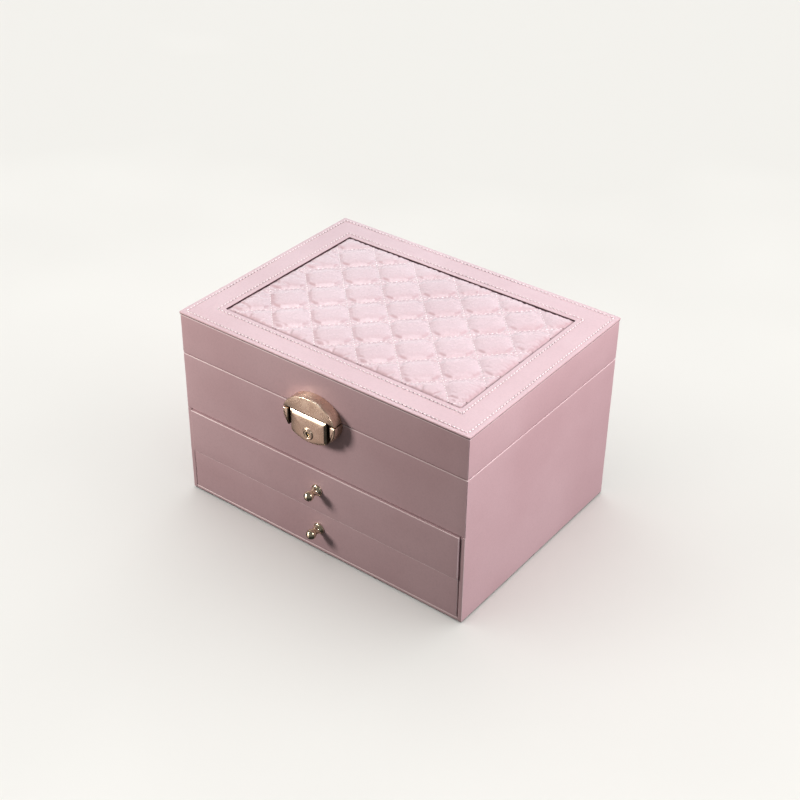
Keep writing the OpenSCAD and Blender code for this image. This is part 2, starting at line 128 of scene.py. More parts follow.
def mottled(name, grains, deep, pale, bump=None, **values):
    """A material whose colour goes from deep to pale over a noise. grains are the noise's inputs,
    deep and pale are a ramp's stops, and bump is the strength and the height in metres of a relief
    from the same noise."""
    made, tree, shader, place = start_material(name, **values)
    grain = noise(tree, place, **grains)
    fill(tree, shader, {"Base Color": ramp(tree, grain, deep, pale)})
    if bump:
        relief = node(tree, "Bump", {"Height": grain, "Strength": bump[0], "Distance": bump[1]})
        fill(tree, shader, {"Normal": relief.outputs["Normal"]})
    return made


def grid(rows, cols, wrap_rows=False, wrap_cols=False):
    """Quads over rows x cols points. A wrapped direction joins its last line to its first. They
    face outwards where the columns run counter-clockwise, seen from where the rows go."""
    i = np.arange(rows if wrap_rows else rows - 1)[:, None]
    j = np.arange(cols if wrap_cols else cols - 1)[None]
    i2, j2 = (i + 1) % rows, (j + 1) % cols
    corners = i * cols + j, i * cols + j2, i2 * cols + j2, i2 * cols + j
    return np.stack(np.broadcast_arrays(*corners), -1).reshape(-1, 4)


def piece(name, shape, material, smooth_below=35):
    """An object from a shape, which is points in millimetres and a list of arrays of faces. Edges
    bent by less than smooth_below degrees are shaded soft."""
    points, faces = shape
    mesh = bpy.data.meshes.new(name)
    mesh.from_pydata((np.asarray(points, float).reshape(-1, 3) * 0.001).tolist(), [],
                     [face for rows in faces for face in rows.tolist()])
    mesh.validate()
    mesh.shade_smooth()
    mesh.set_sharp_from_angle(angle=np.radians(smooth_below))
    mesh.materials.append(material)
    made = bpy.data.objects.new(name, mesh)
    bpy.context.scene.collection.objects.link(made)
    return made


def add_light(name, place, aim, size, power, colour):
    """A square soft box that faces the aim."""
    data = bpy.data.lights.new(name, "AREA")
    data.size, data.energy, data.color = size, power, linear(colour)[:3]
    lamp = bpy.data.objects.new(name, data)
    lamp.location = place
    lamp.rotation_euler = (Vector(aim) - Vector(place)).to_track_quat("-Z", "Y").to_euler()
    bpy.context.scene.collection.objects.link(lamp)
    return lamp


camera_data = bpy.data.cameras.new("camera")
camera_data.lens, camera_data.sensor_width = CAMERA_LENS, 36
camera = bpy.data.objects.new("camera", camera_data)
camera_back = -CAMERA_FORWARD.normalized()
camera_right = CAMERA_UP.cross(camera_back).normalized()
turned = Matrix((camera_right, camera_back.cross(camera_right), camera_back)).transposed()
camera.matrix_world = Matrix.Translation(CAMERA_PLACE) @ turned.to_4x4()
bpy.context.scene.collection.objects.link(camera)
bpy.context.scene.camera = camera

card, tree, shader, place = start_material("matt_card_floor", Roughness=0.9, Specular_IOR_Level=0.1)
pulp = noise(tree, place, 3)
# Painted light: the card grows paler towards the viewer, along (0.5, -0.7), over the pulp's own
# mottle.
near = node(tree, "VectorMath", {0: place, 1: (0.5, -0.7, 0.0)}, operation="DOT_PRODUCT")
pulp_and_painted_light = node(tree, "Math", {0: near.outputs["Value"], 1: 0.6, 2: pulp}, operation="MULTIPLY_ADD")
fill(tree, shader, {"Base Color": ramp(tree, pulp_and_painted_light.outputs[0], (0.2, "#eae9e5"), (0.8, "#f5f4f0"))})
side = np.linspace(-FLOOR_HALF, FLOOR_HALF, 9)
x, y = np.meshgrid(side, side)
floor = piece("floor", (np.stack([x, y, 0 * x], -1), [grid(9, 9)]), card)
floor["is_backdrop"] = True
floor.visible_diffuse = floor.visible_glossy = False

bpy.context.scene.view_settings.view_transform = "Standard"
# The sky is dim, and darker below the horizon, and the viewer sees it as a pale wall. The floor
# has a light of its own, a bright overcast dome, and the boxes are flagged off it.
sky = bpy.data.worlds.new("sky")
bpy.context.scene.world = sky
sky.use_nodes = True
tree = sky.node_tree
way = node(tree, "SeparateXYZ", {"Vector": node(tree, "TexCoord").outputs["Generated"]})
glow = node(tree, "MapRange", {"Value": way.outputs["Z"], "From Min": -0.5, "From Max": 0.1,
                               "To Min": SKY_BELOW * SKY_GLOW, "To Max": SKY_GLOW})
seen = node(tree, "Mix", {"Factor": node(tree, "LightPath").outputs["Is Camera Ray"],
                          "A": glow.outputs["Result"], "B": SKY_WALL},
            data_type="FLOAT").outputs[0]
fill(tree, tree.nodes["Background"], {"Strength": seen, "Color": linear("#fffbf5")})
boxes = [add_light("back_box", (-0.74, 1.2, 0.95), (0, 0, 0.1), 1.5, 16, "#e9fbff"),
         add_light("upper_box", (-0.4, 0.53, 1.7), (0, 0, 0.1), 0.5, 7.8, "#f0fbff"),
         add_light("right_box", (0.75, 0.12, 0.55), (0.1, 0, 0.07), 0.45, 8.4, "#fff6f6"),
         add_light("near_box", (-0.4, -0.46, 0.34), (-0.08, -0.085, 0.09), 0.16, 2.7, "#fff6ee")]
cards = [add_light("bounce_card", (-0.75, -1.3, 0.2), (0, 0, 0.1), 0.9, 6, "#fff6ec"),
         add_light("under_card", (-0.78, -1.15, -0.66), (0, -0.08, 0.08), 1.1, 1.8, "#ffe2dc")]
dome_data = bpy.data.lights.new("floor_dome", "SUN")
dome_data.energy, dome_data.angle = DOME_POWER, np.radians(DOME_ANGLE)
dome = bpy.data.objects.new("floor_dome", dome_data)
dome.rotation_euler = Vector((-0.46, 0.6, 0.66)).to_track_quat("Z", "Y").to_euler()
bpy.context.scene.collection.objects.link(dome)
stage_only = bpy.data.collections.new("lit_by_dome")
stage_only.objects.link(floor)
dome.light_linking.receiver_collection = stage_only

# ---------------------------------------------------------------------------------------------
# Carcass: boards of 3 mm grey card, each wrapped in polyurethane leatherette and glued to the
# next. The sheet is folded over every edge, so an edge is a soft round, and the boards of the
# lid's rim and the front apron are mitred at their ends.

FOLD = 0.65
CORNER_FOLD = 0.45
BOARD_STEP = 8
BOARD_WAVE = 0.12
PEBBLE = 1.1
MITRE_BLEND = 0.3
FOLDED = 0.975


def extent(name):
    """Lowest and highest corner of a CAD node, in millimetres."""
    low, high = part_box(name)
    return np.array(low) * 1000, np.array(high) * 1000


def part(name, shape, material, body, slot, *nodes, smooth_below=35):
    """A piece on its body in place of CAD nodes. slot is not used."""
    made = piece(name, shape, material, smooth_below)
    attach(made, body)
    if nodes:
        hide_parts(*nodes)
    return made


def join(*shapes):
    """Several shapes as one."""
    points, faces, count = [], [], 0
    for p, rows in shapes:
        p = np.asarray(p, float).reshape(-1, 3)
        points.append(p)
        faces += [np.asarray(r) + count for r in rows]
        count += len(p)
    return np.concatenate(points), faces


def rounded_box(low, high, fold=FOLD, step=BOARD_STEP, wave=0.0, marks=()):
    """A box with rounded edges. A point p of the plain box's surface moves to c + r q / |q|, where
    c is the nearest point of the core, the box less r all round, q is (p - c) / r and r may differ
    from axis to axis. A wave of a tenth of a millimetre along the same way keeps a board from
    being dead flat. marks are heights that get a line of points."""
    low, high = np.array(low, float), np.array(high, float)
    r = np.minimum(np.broadcast_to(fold, 3), 0.49 * (high - low).min())
    lines = []
    for k in range(3):
        turn = r[k] * np.tan(np.radians([45, 34, 22, 11]))
        flat = np.linspace(low[k] + r[k], high[k] - r[k], max(3, int((high - low)[k] / step) + 1))
        flat = np.concatenate([flat, marks]) if k == 2 and len(marks) else flat
        lines.append(np.sort(np.concatenate([low[k] + r[k] - turn, flat, high[k] - r[k] + turn])))
    points, quads, count = [], [], 0
    for k in range(3):
        i, j = (k + 1) % 3, (k + 2) % 3
        a, b = np.meshgrid(lines[i], lines[j], indexing="ij")
        for end, order in ((high[k], [0, 3, 2, 1]), (low[k], [0, 1, 2, 3])):
            p = np.empty((*a.shape, 3))
            p[..., i], p[..., j], p[..., k] = a, b, end
            points.append(p.reshape(-1, 3))
            quads.append(grid(*a.shape)[:, order] + count)
            count += a.size
    p = np.concatenate(points)
    core = np.clip(p, low + r, high - r)
    q = (p - core) / r
    q /= np.linalg.norm(q, axis=1, keepdims=True)
    ripple = np.sin(p @ [0.083, 0.047, 0.061]) * np.sin(p @ [0.031, 0.052, -0.097])
    p = core + q * (r - 0.5 * wave * (1 - ripple)[:, None])
    kept, place = np.unique(np.round(p, 6), axis=0, return_inverse=True)
    return kept, [place.ravel()[np.concatenate(quads)]]


def leatherette(name, deep, pale, rough, creases):
    """Polyurethane leatherette: a soft film on cloth, pressed hot with a fine pebble grain. The
    grain is drawn at 1.1 mm, about twice the real size, so that it shows. The valleys of the
    grain are a touch deeper in colour, and the film's gloss and tint drift over the sheet."""
    made, tree, shader, place = start_material(name, IOR=1.48)
    pebble = node(tree, "TexVoronoi", {"Vector": place, "Scale": 1000 / PEBBLE},
                  feature="SMOOTH_F1").outputs["Distance"]
    crease = noise(tree, place, 240, 4.0, Roughness=0.6)
    drift = noise(tree, place, 14, 4.0)
    valley = node(tree, "MapRange", {"Value": pebble, "From Min": 0.25, "From Max": 0.75,
                                     "To Min": 1.0, "To Max": 0.94}).outputs["Result"]
    tint = node(tree, "Mix", {"Factor": 1.0, "A": ramp(tree, drift, (0.35, deep), (0.65, pale)),
                              "B": valley}, data_type="RGBA", blend_type="MULTIPLY")
    gloss = node(tree, "MapRange", {"Value": crease, "From Min": 0.3, "From Max": 0.7,
                                    "To Min": rough - 0.05, "To Max": rough + 0.05})
    grain = node(tree, "Bump", {"Height": pebble, "Strength": 0.3, "Distance": 0.00005},
                 invert=True)
    skin = node(tree, "Bump", {"Height": crease, "Strength": 0.35, "Distance": creases,
                               "Normal": grain.outputs["Normal"]})
    fill(tree, shader, {"Base Color": tint.outputs[2], "Roughness": gloss.outputs["Result"],
                        "Normal": skin.outputs["Normal"]})
    return made


pink = leatherette("pressed_leatherette", "#caa9af", "#d2b3b9", 0.42, 0.00012)
# The folds are painted paler, a painted highlight where an edge catches the light, and the
# folds that face down are painted darker, a painted shade under the edges.
fold_highlight = leatherette("leatherette_painted_fold_highlight", "#e2cbcf", "#ead6d9", 0.36, 0.00004)
fold_shade = leatherette("leatherette_painted_fold_shade", "#987a80", "#a5878d", 0.5, 0.00004)


def repaint(made, material, facing):
    """Gives a further material to the faces for which facing(middle, normal) is true. Both come
    as arrays, with the middle in millimetres."""
    polygons = made.data.polygons
    middle, normal = np.empty(len(polygons) * 3), np.empty(len(polygons) * 3)
    numbers = np.empty(len(polygons), int)
    polygons.foreach_get("center", middle)
    polygons.foreach_get("normal", normal)
    polygons.foreach_get("material_index", numbers)
    made.data.materials.append(material)
    chosen = facing(middle.reshape(-1, 3) * 1000, normal.reshape(-1, 3))
    numbers[chosen] = len(made.data.materials) - 1
    polygons.foreach_set("material_index", numbers)


def wrapped(name, shape, body):
    """A wrapped board in place of its CAD node, with painted highlight and shade on its folds."""
    made = part("wrapped_" + name, shape, pink, body, "pink_leatherette", name)
    repaint(made, fold_highlight, lambda p, n: (np.abs(n).max(1) < FOLDED) & (n[:, 2] > -0.1))
    repaint(made, fold_shade, lambda p, n: (np.abs(n).max(1) < FOLDED) & (n[:, 2] < -0.1))


half_w, half_d = extent("right_side_panel")[1][:2]
apron_low = extent("front_apron")[0][2]


def mitred(name, along, across):
    """A rim board cut at 45 degrees at both ends: a point at depth d inside the outer face keeps
    (h - d) / h of its place along the board, where h is half the board's length."""
    low, high = extent(name)
    fold = np.full(3, FOLD)
    fold[along] = CORNER_FOLD
    points, faces = rounded_box(low, high, fold, wave=BOARD_WAVE)
    half = high[along]
    outer = max(abs(low[across]), abs(high[across]))
    points[:, along] *= (half - (outer - np.abs(points[:, across]))) / half
    return points, faces


for name, body, along, across in (("front_apron", "chest", 0, 1), ("lid_front", "lid", 0, 1),
                                  ("lid_back", "lid", 0, 1), ("lid_left", "lid", 1, 0),
                                  ("lid_right", "lid", 1, 0)):
    wrapped(name, mitred(name, along, across), body)

# A side panel's front edge shows beside the drawers and is mitred to the apron above them.
for name in ("left_side_panel", "right_side_panel"):
    low, high = extent(name)
    points, faces = rounded_box(low, high, (CORNER_FOLD, CORNER_FOLD, FOLD), wave=BOARD_WAVE,
                                marks=apron_low + np.array([-MITRE_BLEND, 0]))
    above = np.clip((points[:, 2] - apron_low) / MITRE_BLEND + 1, 0, 1)
    inside = half_w - np.abs(points[:, 0])
    front = np.clip((inside.max() - half_d - points[:, 1]) / inside.max(), 0, 1)
    points[:, 1] += above * front * inside
    wrapped(name, (points, faces), "chest")

for name, body in (("base_panel", "chest"), ("back_panel", "chest"), ("drawer_shelf", "chest"),
                   ("compartment_floor", "chest"), ("lid_backing_board", "lid"),
                   ("upper_drawer_front", "upper_drawer"), ("lower_drawer_front", "lower_drawer")):
    wrapped(name, rounded_box(*extent(name), wave=BOARD_WAVE), body)

# ---------------------------------------------------------------------------------------------
# Frame on top of the lid: a cut-out board of 2 mm card under one sheet of leatherette, which is
# drawn over both edges and sewn down with two rows of lockstitch, 3 mm from stitch to stitch.
# Each row pulls the sheet into a shallow groove, deepest at the needle holes.

STITCH = 3
OUTER_ROW = 3.5
INNER_ROW = 17.7
GROOVE_DEPTH, GROOVE_WIDTH = 0.2, 0.7
HOLE_REACH = 0.75
FRAME_FALL = 0.06
FRAME_CORNER = 1.2
FRAME_FOLD, INNER_FOLD = 0.5, 0.3
INNER_CORNER = 1.0


def rect_path(along_x, along_y, turn=6):
    """A rounded rectangle's path, counter-clockwise: for each point the share of the core's half
    sides, and the unit normal. along_x and along_y are the shares along a side that get points."""
    corners = np.array([[1, -1], [1, 1], [-1, 1], [-1, -1]], float)
    core, normal = [], []
    for k in range(4):
        a, b = corners[k], corners[(k + 1) % 4]
        t = (along_x if k % 2 else along_y)[1:-1, None]
        angle = np.radians(90 * k + np.linspace(0, 90, turn + 1))
        out = np.stack([np.cos(angle), np.sin(angle)], 1)
        core += [a + (b - a) * t, np.repeat(b[None], turn + 1, 0)]
        normal += [np.repeat(out[:1], len(t), 0), out]
    return np.concatenate(core), np.concatenate(normal)


def rect_rings(path, rows, centre=(0, 0)):
    """Rings over a path. A row is half width, half depth, corner radius and height, and a point is
    core * (half - radius) + normal * radius."""
    core, normal = path
    half_x, half_y, r, z = (c[:, None] for c in np.array(rows, float).T)
    r = np.minimum(r, np.minimum(half_x, half_y))
    x = centre[0] + core[:, 0] * (half_x - r) + normal[:, 0] * r
    y = centre[1] + core[:, 1] * (half_y - r) + normal[:, 1] * r
    return np.stack([x, y, np.broadcast_to(z, x.shape)], -1)


def loft(rings, closed=False):
    """A skin over rings of points. The last ring joins the first, or else each end gets a face."""
    rows, cols = rings.shape[:2]
    faces = [grid(rows, cols, closed, True)]
    if not closed:
        faces += [np.arange(cols)[None, ::-1], np.arange(cols)[None] + (rows - 1) * cols]
    return rings.reshape(-1, 3), faces


def arc(centre, r, start, end, count=5):
    """Points of a circle's arc in a section, from angle start to end in degrees."""
    angle = np.radians(np.linspace(start, end, count))
    return np.stack([centre[0] + r * np.cos(angle), centre[1] + r * np.sin(angle)], 1)


low, high = extent("lid_top_frame")
frame_x, frame_y, frame_top = high
frame_low = low[2]
frame_wide = frame_x - (extent("quilted_pad")[1][0] + 0.3)
rows_at = {name: (at, round(2 * (frame_x - at) / STITCH), round(2 * (frame_y - at) / STITCH))
           for name, at in (("outer", OUTER_ROW), ("inner", INNER_ROW))}


def sunk(x, y, inset, on_x_side):
    """How far the sewing pulls the sheet down: a groove exp(-(d / width)^2) along each row, deeper
    where the distance along the row is near a needle hole."""
    total = 0
    for at, count_x, count_y in rows_at.values():
        half = np.where(on_x_side, frame_x - at, frame_y - at)
        pitch = 2 * half / np.where(on_x_side, count_x, count_y)
        phase = (np.where(on_x_side, x, y) + half) / pitch
        off = np.abs(phase - np.round(phase)) * pitch
        pull = 0.45 + 0.55 * np.exp(-(off / HOLE_REACH) ** 2)
        total = total + GROOVE_DEPTH * pull * np.exp(-((inset - at) / GROOVE_WIDTH) ** 2)
    return total


fine = np.linspace(-2.4, 2.4, 13)
flat = np.concatenate([[1.0], OUTER_ROW + fine[1:], np.linspace(7, 14, 8), INNER_ROW + fine,
                       [frame_wide - 0.9]])
section = np.concatenate([
    [[1.1, frame_low + 0.02], [0.5, frame_low + 0.15], [0.14, frame_low + 0.45],
     [0.03, frame_low + 0.95]],
    arc((FRAME_FOLD, frame_top - FRAME_FOLD), FRAME_FOLD, 180, 90, 6),
    np.stack([flat, np.full_like(flat, frame_top)], 1),
    arc((frame_wide - INNER_FOLD, frame_top - INNER_FOLD), INNER_FOLD, 90, 0, 5),
    [[frame_wide, frame_low + 0.3], [frame_wide - 0.2, frame_low]]])
count_x, count_y = 4 * rows_at["outer"][1], 4 * rows_at["outer"][2]
path = rect_path(np.linspace(0, 1, count_x + 1), np.linspace(0, 1, count_y + 1), 4)
inset = section[:, 0]
corner = np.interp(inset, [0, frame_wide * 0.8, frame_wide], [FRAME_CORNER, 0.1, INNER_CORNER])
rings = rect_rings(path, np.stack([frame_x - inset, frame_y - inset, corner, section[:, 1]], 1))
on_x_side = np.abs(path[1][:, 1]) > 0.707
on_top = np.clip((section[:, 1] - frame_top + 0.5) / 0.5, 0, 1)[:, None]
crown = 1 - (2 * inset[:, None] / frame_wide - 1) ** 2
ripple = np.sin(rings[..., 0] * 0.05 + 1) * np.sin(rings[..., 1] * 0.06)
rings[..., 2] -= on_top * (sunk(rings[..., 0], rings[..., 1], inset[:, None], on_x_side)
                           + FRAME_FALL * (1 - crown) - 0.04 * ripple)
top_frame = part("sewn_top_frame", loft(rings, closed=True), pink, "lid", "pink_leatherette",
                 "lid_top_frame")
# The sheet is cut flush inside the opening and low on the outside. Its lower lip outside and
# the wall of the opening are painted near black: painted shade under the edge and in the opening.
edge_shade = mottled("cut_edge_painted_shade", {"scale": 700, "detail": 3.0}, (0.3, "#3a2529"),
                (0.7, "#56393f"), Roughness=0.7)
top_frame.data.materials.append(edge_shade)
wall_row = len(section) - 3
numbers = np.zeros(len(top_frame.data.polygons), int)
numbers[:3 * len(path[0])] = numbers[wall_row * len(path[0]):(wall_row + 2) * len(path[0])] = 1
top_frame.data.polygons.foreach_set("material_index", numbers)

# ---------------------------------------------------------------------------------------------
# Sewing thread: spun polyester, a little paler than the leatherette. The frame's thread is 0.7 mm
# thick and the pad's 0.5 mm, THREAD and PAD_THREAD being their radii. A stitch comes up out of one
# needle hole, lies on the sheet and goes down the next one.

THREAD = 0.34
STITCH_FILL = 0.66
THREAD_RISE = 0.45
HOLE_R = 0.5


def stitches(start, end, r=THREAD):
    """Tubes from start to end. The centre line is start + t (end - start), raised by
    rise (1 - (2t - 1)^4), and its radius shrinks at both ends."""
    t = np.linspace(0, 1, 6)
    shrink = r * np.array([0.4, 0.9, 1, 1, 0.9, 0.4])
    up = np.array([0, 0, 1.0])
    along = (end - start) / np.linalg.norm(end - start, axis=1, keepdims=True)
    across = np.cross(up, along)
    centre = start[:, None] + t[:, None] * (end - start)[:, None]
    centre[..., 2] += THREAD_RISE * (1 - (2 * t - 1) ** 4)
    angle = np.radians(60 * np.arange(6))
    way = across[:, None] * np.cos(angle)[:, None] + up * np.sin(angle)[:, None]
    points = centre[:, :, None] + shrink[:, None, None] * way[:, None]
    quads = np.concatenate([grid(6, 6, False, True), [[3, 2, 1, 0], [0, 5, 4, 3], [30, 31, 32, 33],
                                                      [33, 34, 35, 30]]])
    step = 36 * np.arange(len(start))[:, None, None]
    return points, [(quads + step).reshape(-1, 4)]


def needle_holes(centre):
    """Painted shade in the holes, as flat dark lenses: a ring of eight points, a point above and
    one below.
    """
    angle = np.radians(45 * np.arange(8))
    ring = np.stack([HOLE_R * np.cos(angle), HOLE_R * np.sin(angle), 0 * angle + 0.03], 1)
    lens = np.concatenate([ring, [[0, 0, 0.05], [0, 0, -0.15]]])
    k = np.arange(8)
    faces = np.concatenate([np.stack([k, (k + 1) % 8, 0 * k + 8], 1),
                            np.stack([(k + 1) % 8, k, 0 * k + 9], 1)])
    step = 10 * np.arange(len(centre))[:, None, None]
    return centre[:, None] + lens, [(faces + step).reshape(-1, 3)]


thread = mottled("spun_polyester_thread", {"scale": 2200}, (0.35, "#f0e2e5"),
                 (0.65, "#fdf6f7"), (0.5, 0.0001), Roughness=0.55, Sheen_Weight=0.3)
# The needle holes are painted dark: painted shade of the holes.
hole_shade = mottled("needle_hole_painted_shade", {"scale": 1500}, (0.3, "#4a3036"), (0.7, "#6b4c53"),
                  Roughness=0.8)

holes, starts, ends = [], [], []
for at, count_x, count_y in rows_at.values():
    corners = np.array([[1, -1], [1, 1], [-1, 1], [-1, -1]]) * [frame_x - at, frame_y - at]
    for k in range(4):
        count = count_x if k % 2 else count_y
        t = np.linspace(0, 1, count + 1)[:, None]
        line = corners[k] + (corners[(k + 1) % 4] - corners[k]) * t
        line = np.column_stack([line, np.full(count + 1, frame_top - GROOVE_DEPTH - 0.02)])
        gap = 0.5 * (1 - STITCH_FILL) * (line[1:] - line[:-1])
        holes.append(line[:-1])
        starts.append(line[:-1] + gap)
        ends.append(line[1:] - gap)
part("frame_stitches", stitches(np.concatenate(starts), np.concatenate(ends)), thread, "lid",
     "pink_leatherette")
part("frame_needle_holes", needle_holes(np.concatenate(holes)), hole_shade, "lid",
     "pink_leatherette")

# ---------------------------------------------------------------------------------------------
# Quilted pad: leatherette over a thin foam, sewn through in crossing diagonals and let into the
# frame. The foam lifts the sheet into soft diamonds, and the sewing gathers it, so that short
# puckers run from the seams. The sheet starts as a grid with a point on every seam, held along
# the seams and the edge, is cut a little too large and is blown up as cloth.

DIAMOND_X, DIAMOND_Y = 34.6, 36.0
DIAMOND_AT = (-1.3, -10.2)
CELLS = 28
SEAM_LEVEL = 1.35
EDGE_LEVEL = 0.3
CROWN = 1.75
FLATTEN = 1.7
SLACK = -0.035
CLOTH_SCALE = 20
CLOTH_FRAMES = 20
PAD_STITCH = 3.0
PAD_THREAD = 0.27
SEAM_END = 1.2


def grid_lines(half, start, pitch):
    """Grid lines through start every pitch / CELLS, between lines on the pad's two edges, and the
    number of each line counted from start."""
    step = pitch / CELLS
    k = np.arange(-400, 401)
    k = k[np.abs(start + k * step) < half - 0.4 * step]
    return (np.concatenate([[-half], start + k * step, [half]]),
            np.concatenate([[k[0] - 1], k, [k[-1] + 1]]))


def blown(points, quads, held):
    """The sheet after cloth simulation under pressure, at a scale at which cloth behaves."""
    scene = bpy.context.scene
    mesh = bpy.data.meshes.new("sheet")
    mesh.from_pydata((points * 0.001 * CLOTH_SCALE).tolist(), [], quads.tolist())
    sheet = bpy.data.objects.new("sheet", mesh)
    scene.collection.objects.link(sheet)
    sheet.vertex_groups.new(name="held").add(np.nonzero(held)[0].tolist(), 1.0, "REPLACE")
    cloth = sheet.modifiers.new("cloth", "CLOTH")
    for name, value in {"quality": 6, "mass": 0.3, "tension_stiffness": 15,
                        "compression_stiffness": 15, "shear_stiffness": 5,
                        "bending_stiffness": 0.4, "use_pressure": True,
                        "uniform_pressure_force": 4, "vertex_group_mass": "held",
                        "shrink_min": SLACK}.items():
        setattr(cloth.settings, name, value)
    cloth.settings.effector_weights.gravity = 0
    cloth.collision_settings.use_collision = False
    for f in range(1, CLOTH_FRAMES + 1):
        scene.frame_set(f)
    done = sheet.evaluated_get(bpy.context.evaluated_depsgraph_get()).data
    out = np.empty(len(points) * 3)
    done.vertices.foreach_get("co", out)
    bpy.data.objects.remove(sheet)
    scene.frame_set(1)
    return out.reshape(-1, 3) * 1000 / CLOTH_SCALE


def halved(points):
    """One subdivision along the rows: a new point between two is (9 (b + c) - (a + d)) / 16, from
    its two neighbours b and c and the next ones a and d."""
    padded = np.concatenate([points[:1], points, points[-1:]])
    between = (9 * (points[:-1] + points[1:]) - (padded[:-3] + padded[3:])) / 16
    out = np.empty((2 * len(points) - 1, *points.shape[1:]))
    out[::2], out[1::2] = points, between
    return out


low, high = extent("quilted_pad")
pad_half = high[:2]
line_x, number_x = grid_lines(pad_half[0], DIAMOND_AT[0], DIAMOND_X)
line_y, number_y = grid_lines(pad_half[1], DIAMOND_AT[1], DIAMOND_Y)
x, y = np.meshgrid(line_x, line_y)
i, j = np.meshgrid(number_x, number_y)
a, b = (x - DIAMOND_AT[0]) / DIAMOND_X, (y - DIAMOND_AT[1]) / DIAMOND_Y
edge_off = np.minimum(pad_half[0] - np.abs(x), pad_half[1] - np.abs(y))
on_seam = ((i + j) % CELLS == 0) | ((i - j) % CELLS == 0)
on_edge = edge_off < 1e-6
pillow = (np.abs(np.sin(np.pi * (a + b))) * np.abs(np.sin(np.pi * (a - b)))) ** 0.55
pillow *= np.clip(edge_off / 9, 0, 1) ** 0.5
sheet = np.stack([x, y, 0.4 * pillow], -1).reshape(-1, 3)
moved = blown(sheet, grid(*x.shape), (on_seam | on_edge).ravel())
rise = moved[:, 2] / np.percentile(moved[:, 2], 99.9)
sheet[:, :2] += np.clip(moved[:, :2] - sheet[:, :2], -0.6, 0.6)
sheet[:, 2] = CROWN * (1 - np.clip(1 - rise, 0, 1.05) ** FLATTEN)
sheet[:, 2] += low[2] + SEAM_LEVEL - (SEAM_LEVEL - EDGE_LEVEL) * np.exp(-edge_off.ravel() / 0.8)
sheet = halved(halved(sheet.reshape(*x.shape, 3)).swapaxes(0, 1)).swapaxes(0, 1)
rows, cols = sheet.shape[:2]
sheet = sheet.reshape(-1, 3)
index = np.arange(rows * cols).reshape(rows, cols)
loop = np.concatenate([index[0, :-1], index[:-1, -1], index[-1, :0:-1], index[:0:-1, 0]])
skirt = sheet[loop] * [1, 1, 0] + [0, 0, low[2] + 0.02]
n, m = len(sheet), len(loop)
k, after = np.arange(m), (np.arange(m) + 1) % m
walls = np.stack([loop, n + k, n + after, loop[after]], 1)
shape = np.concatenate([sheet, skirt]), [grid(rows, cols), walls, n + k[None, ::-1]]
quilt_skin = leatherette("quilted_leatherette", "#c9abb1", "#d2b6bc", 0.27, 0.00003)
pad = part("quilted_leatherette_pad", shape, quilt_skin, "lid", "pink_leatherette", "quilted_pad",
           smooth_below=180)

# The seams' thread: a seam is a line of constant a + b or a - b, cut off at the pad's edge.
seam_points = []
for way in (1, -1):
    reach = int(np.ceil(pad_half[0] / DIAMOND_X + pad_half[1] / DIAMOND_Y)) + 1
    for k in range(-reach, reach + 1):
        end_x = pad_half[0] - SEAM_END
        cut_y = [pad_half[1] - SEAM_END, SEAM_END - pad_half[1]]
        at_y = [DIAMOND_AT[0] + DIAMOND_X * (k - way * (c - DIAMOND_AT[1]) / DIAMOND_Y)
                for c in cut_y]
        x0, x1 = max(-end_x, min(at_y)), min(end_x, max(at_y))
        if x1 - x0 < 2 * PAD_STITCH:
            continue
        length = (x1 - x0) * np.hypot(1, DIAMOND_Y / DIAMOND_X)
        line_at = np.linspace(x0, x1, max(2, round(length / PAD_STITCH)) + 1)
        up = DIAMOND_AT[1] + way * DIAMOND_Y * (k - (line_at - DIAMOND_AT[0]) / DIAMOND_X)
        seam_points.append(np.column_stack([line_at, up, np.full_like(up, low[2] + SEAM_LEVEL)]))
gaps = np.concatenate([0.2 * (p[1:] - p[:-1]) for p in seam_points]) + [0, 0, 0.25]
starts = np.concatenate([p[:-1] for p in seam_points]) + gaps * [1, 1, -1]
ends = np.concatenate([p[1:] for p in seam_points]) - gaps
part("quilting_stitches", stitches(starts, ends, PAD_THREAD), thread, "lid", "pink_leatherette")
part("quilting_needle_holes", needle_holes(np.concatenate(seam_points)), hole_shade, "lid",
     "pink_leatherette")

# ---------------------------------------------------------------------------------------------
# Lock: zinc castings with a satin pale-gold plating. An oval cap on the lid and a base with two
# wings on the apron hold a shield between them, which slides down on two springs against a hook
# and carries the key barrel in a small boss. Its face edges are broad bevels.

CASTING_EDGE = 0.4
CAP_SLOT_GAP = 0.15
WING_EDGE = 0.9
RIM = 1.4
PLATE = 1.2
GUIDE_PLAY = 0.2
SPRING_X, SPRING_R, SPRING_WIRE, SPRING_TURNS = 10, 1.1, 0.22, 5
LUG_HALF, LUG = 2, 1.2
BOSS = 1.5
BORE_PLAY = 0.05
SHIELD_HALF = 14.5
SHIELD_PROUD = 0.9
OVAL_POINTS = 97
FLANGE_DROP = 6
KEY_R, KEY_PIN, KEY_DEPTH = 1.4, 0.55, 4


def plated(name, pale, deep, rough, grit, relief):
    """A cast or turned metal part, polished and plated. The plating takes its gloss from the
    polish below it, so fine grit lines and a slow orange-peel stay in it."""
    made, tree, shader, place = start_material(name, Metallic=1.0)
    wear = noise(tree, place, 160, 3.0)
    grain = noise(tree, place, 1000 / grit, 3.0)
    gloss = node(tree, "MapRange", {"Value": wear, "From Min": 0.3, "From Max": 0.7,
                                    "To Min": 0.8 * rough, "To Max": 1.2 * rough})
    bump = node(tree, "Bump", {"Height": grain, "Strength": 0.4, "Distance": relief})
    fill(tree, shader, {"Base Color": ramp(tree, wear, (0.3, deep), (0.7, pale)),
                        "Roughness": gloss.outputs["Result"], "Normal": bump.outputs["Normal"]})
    return made


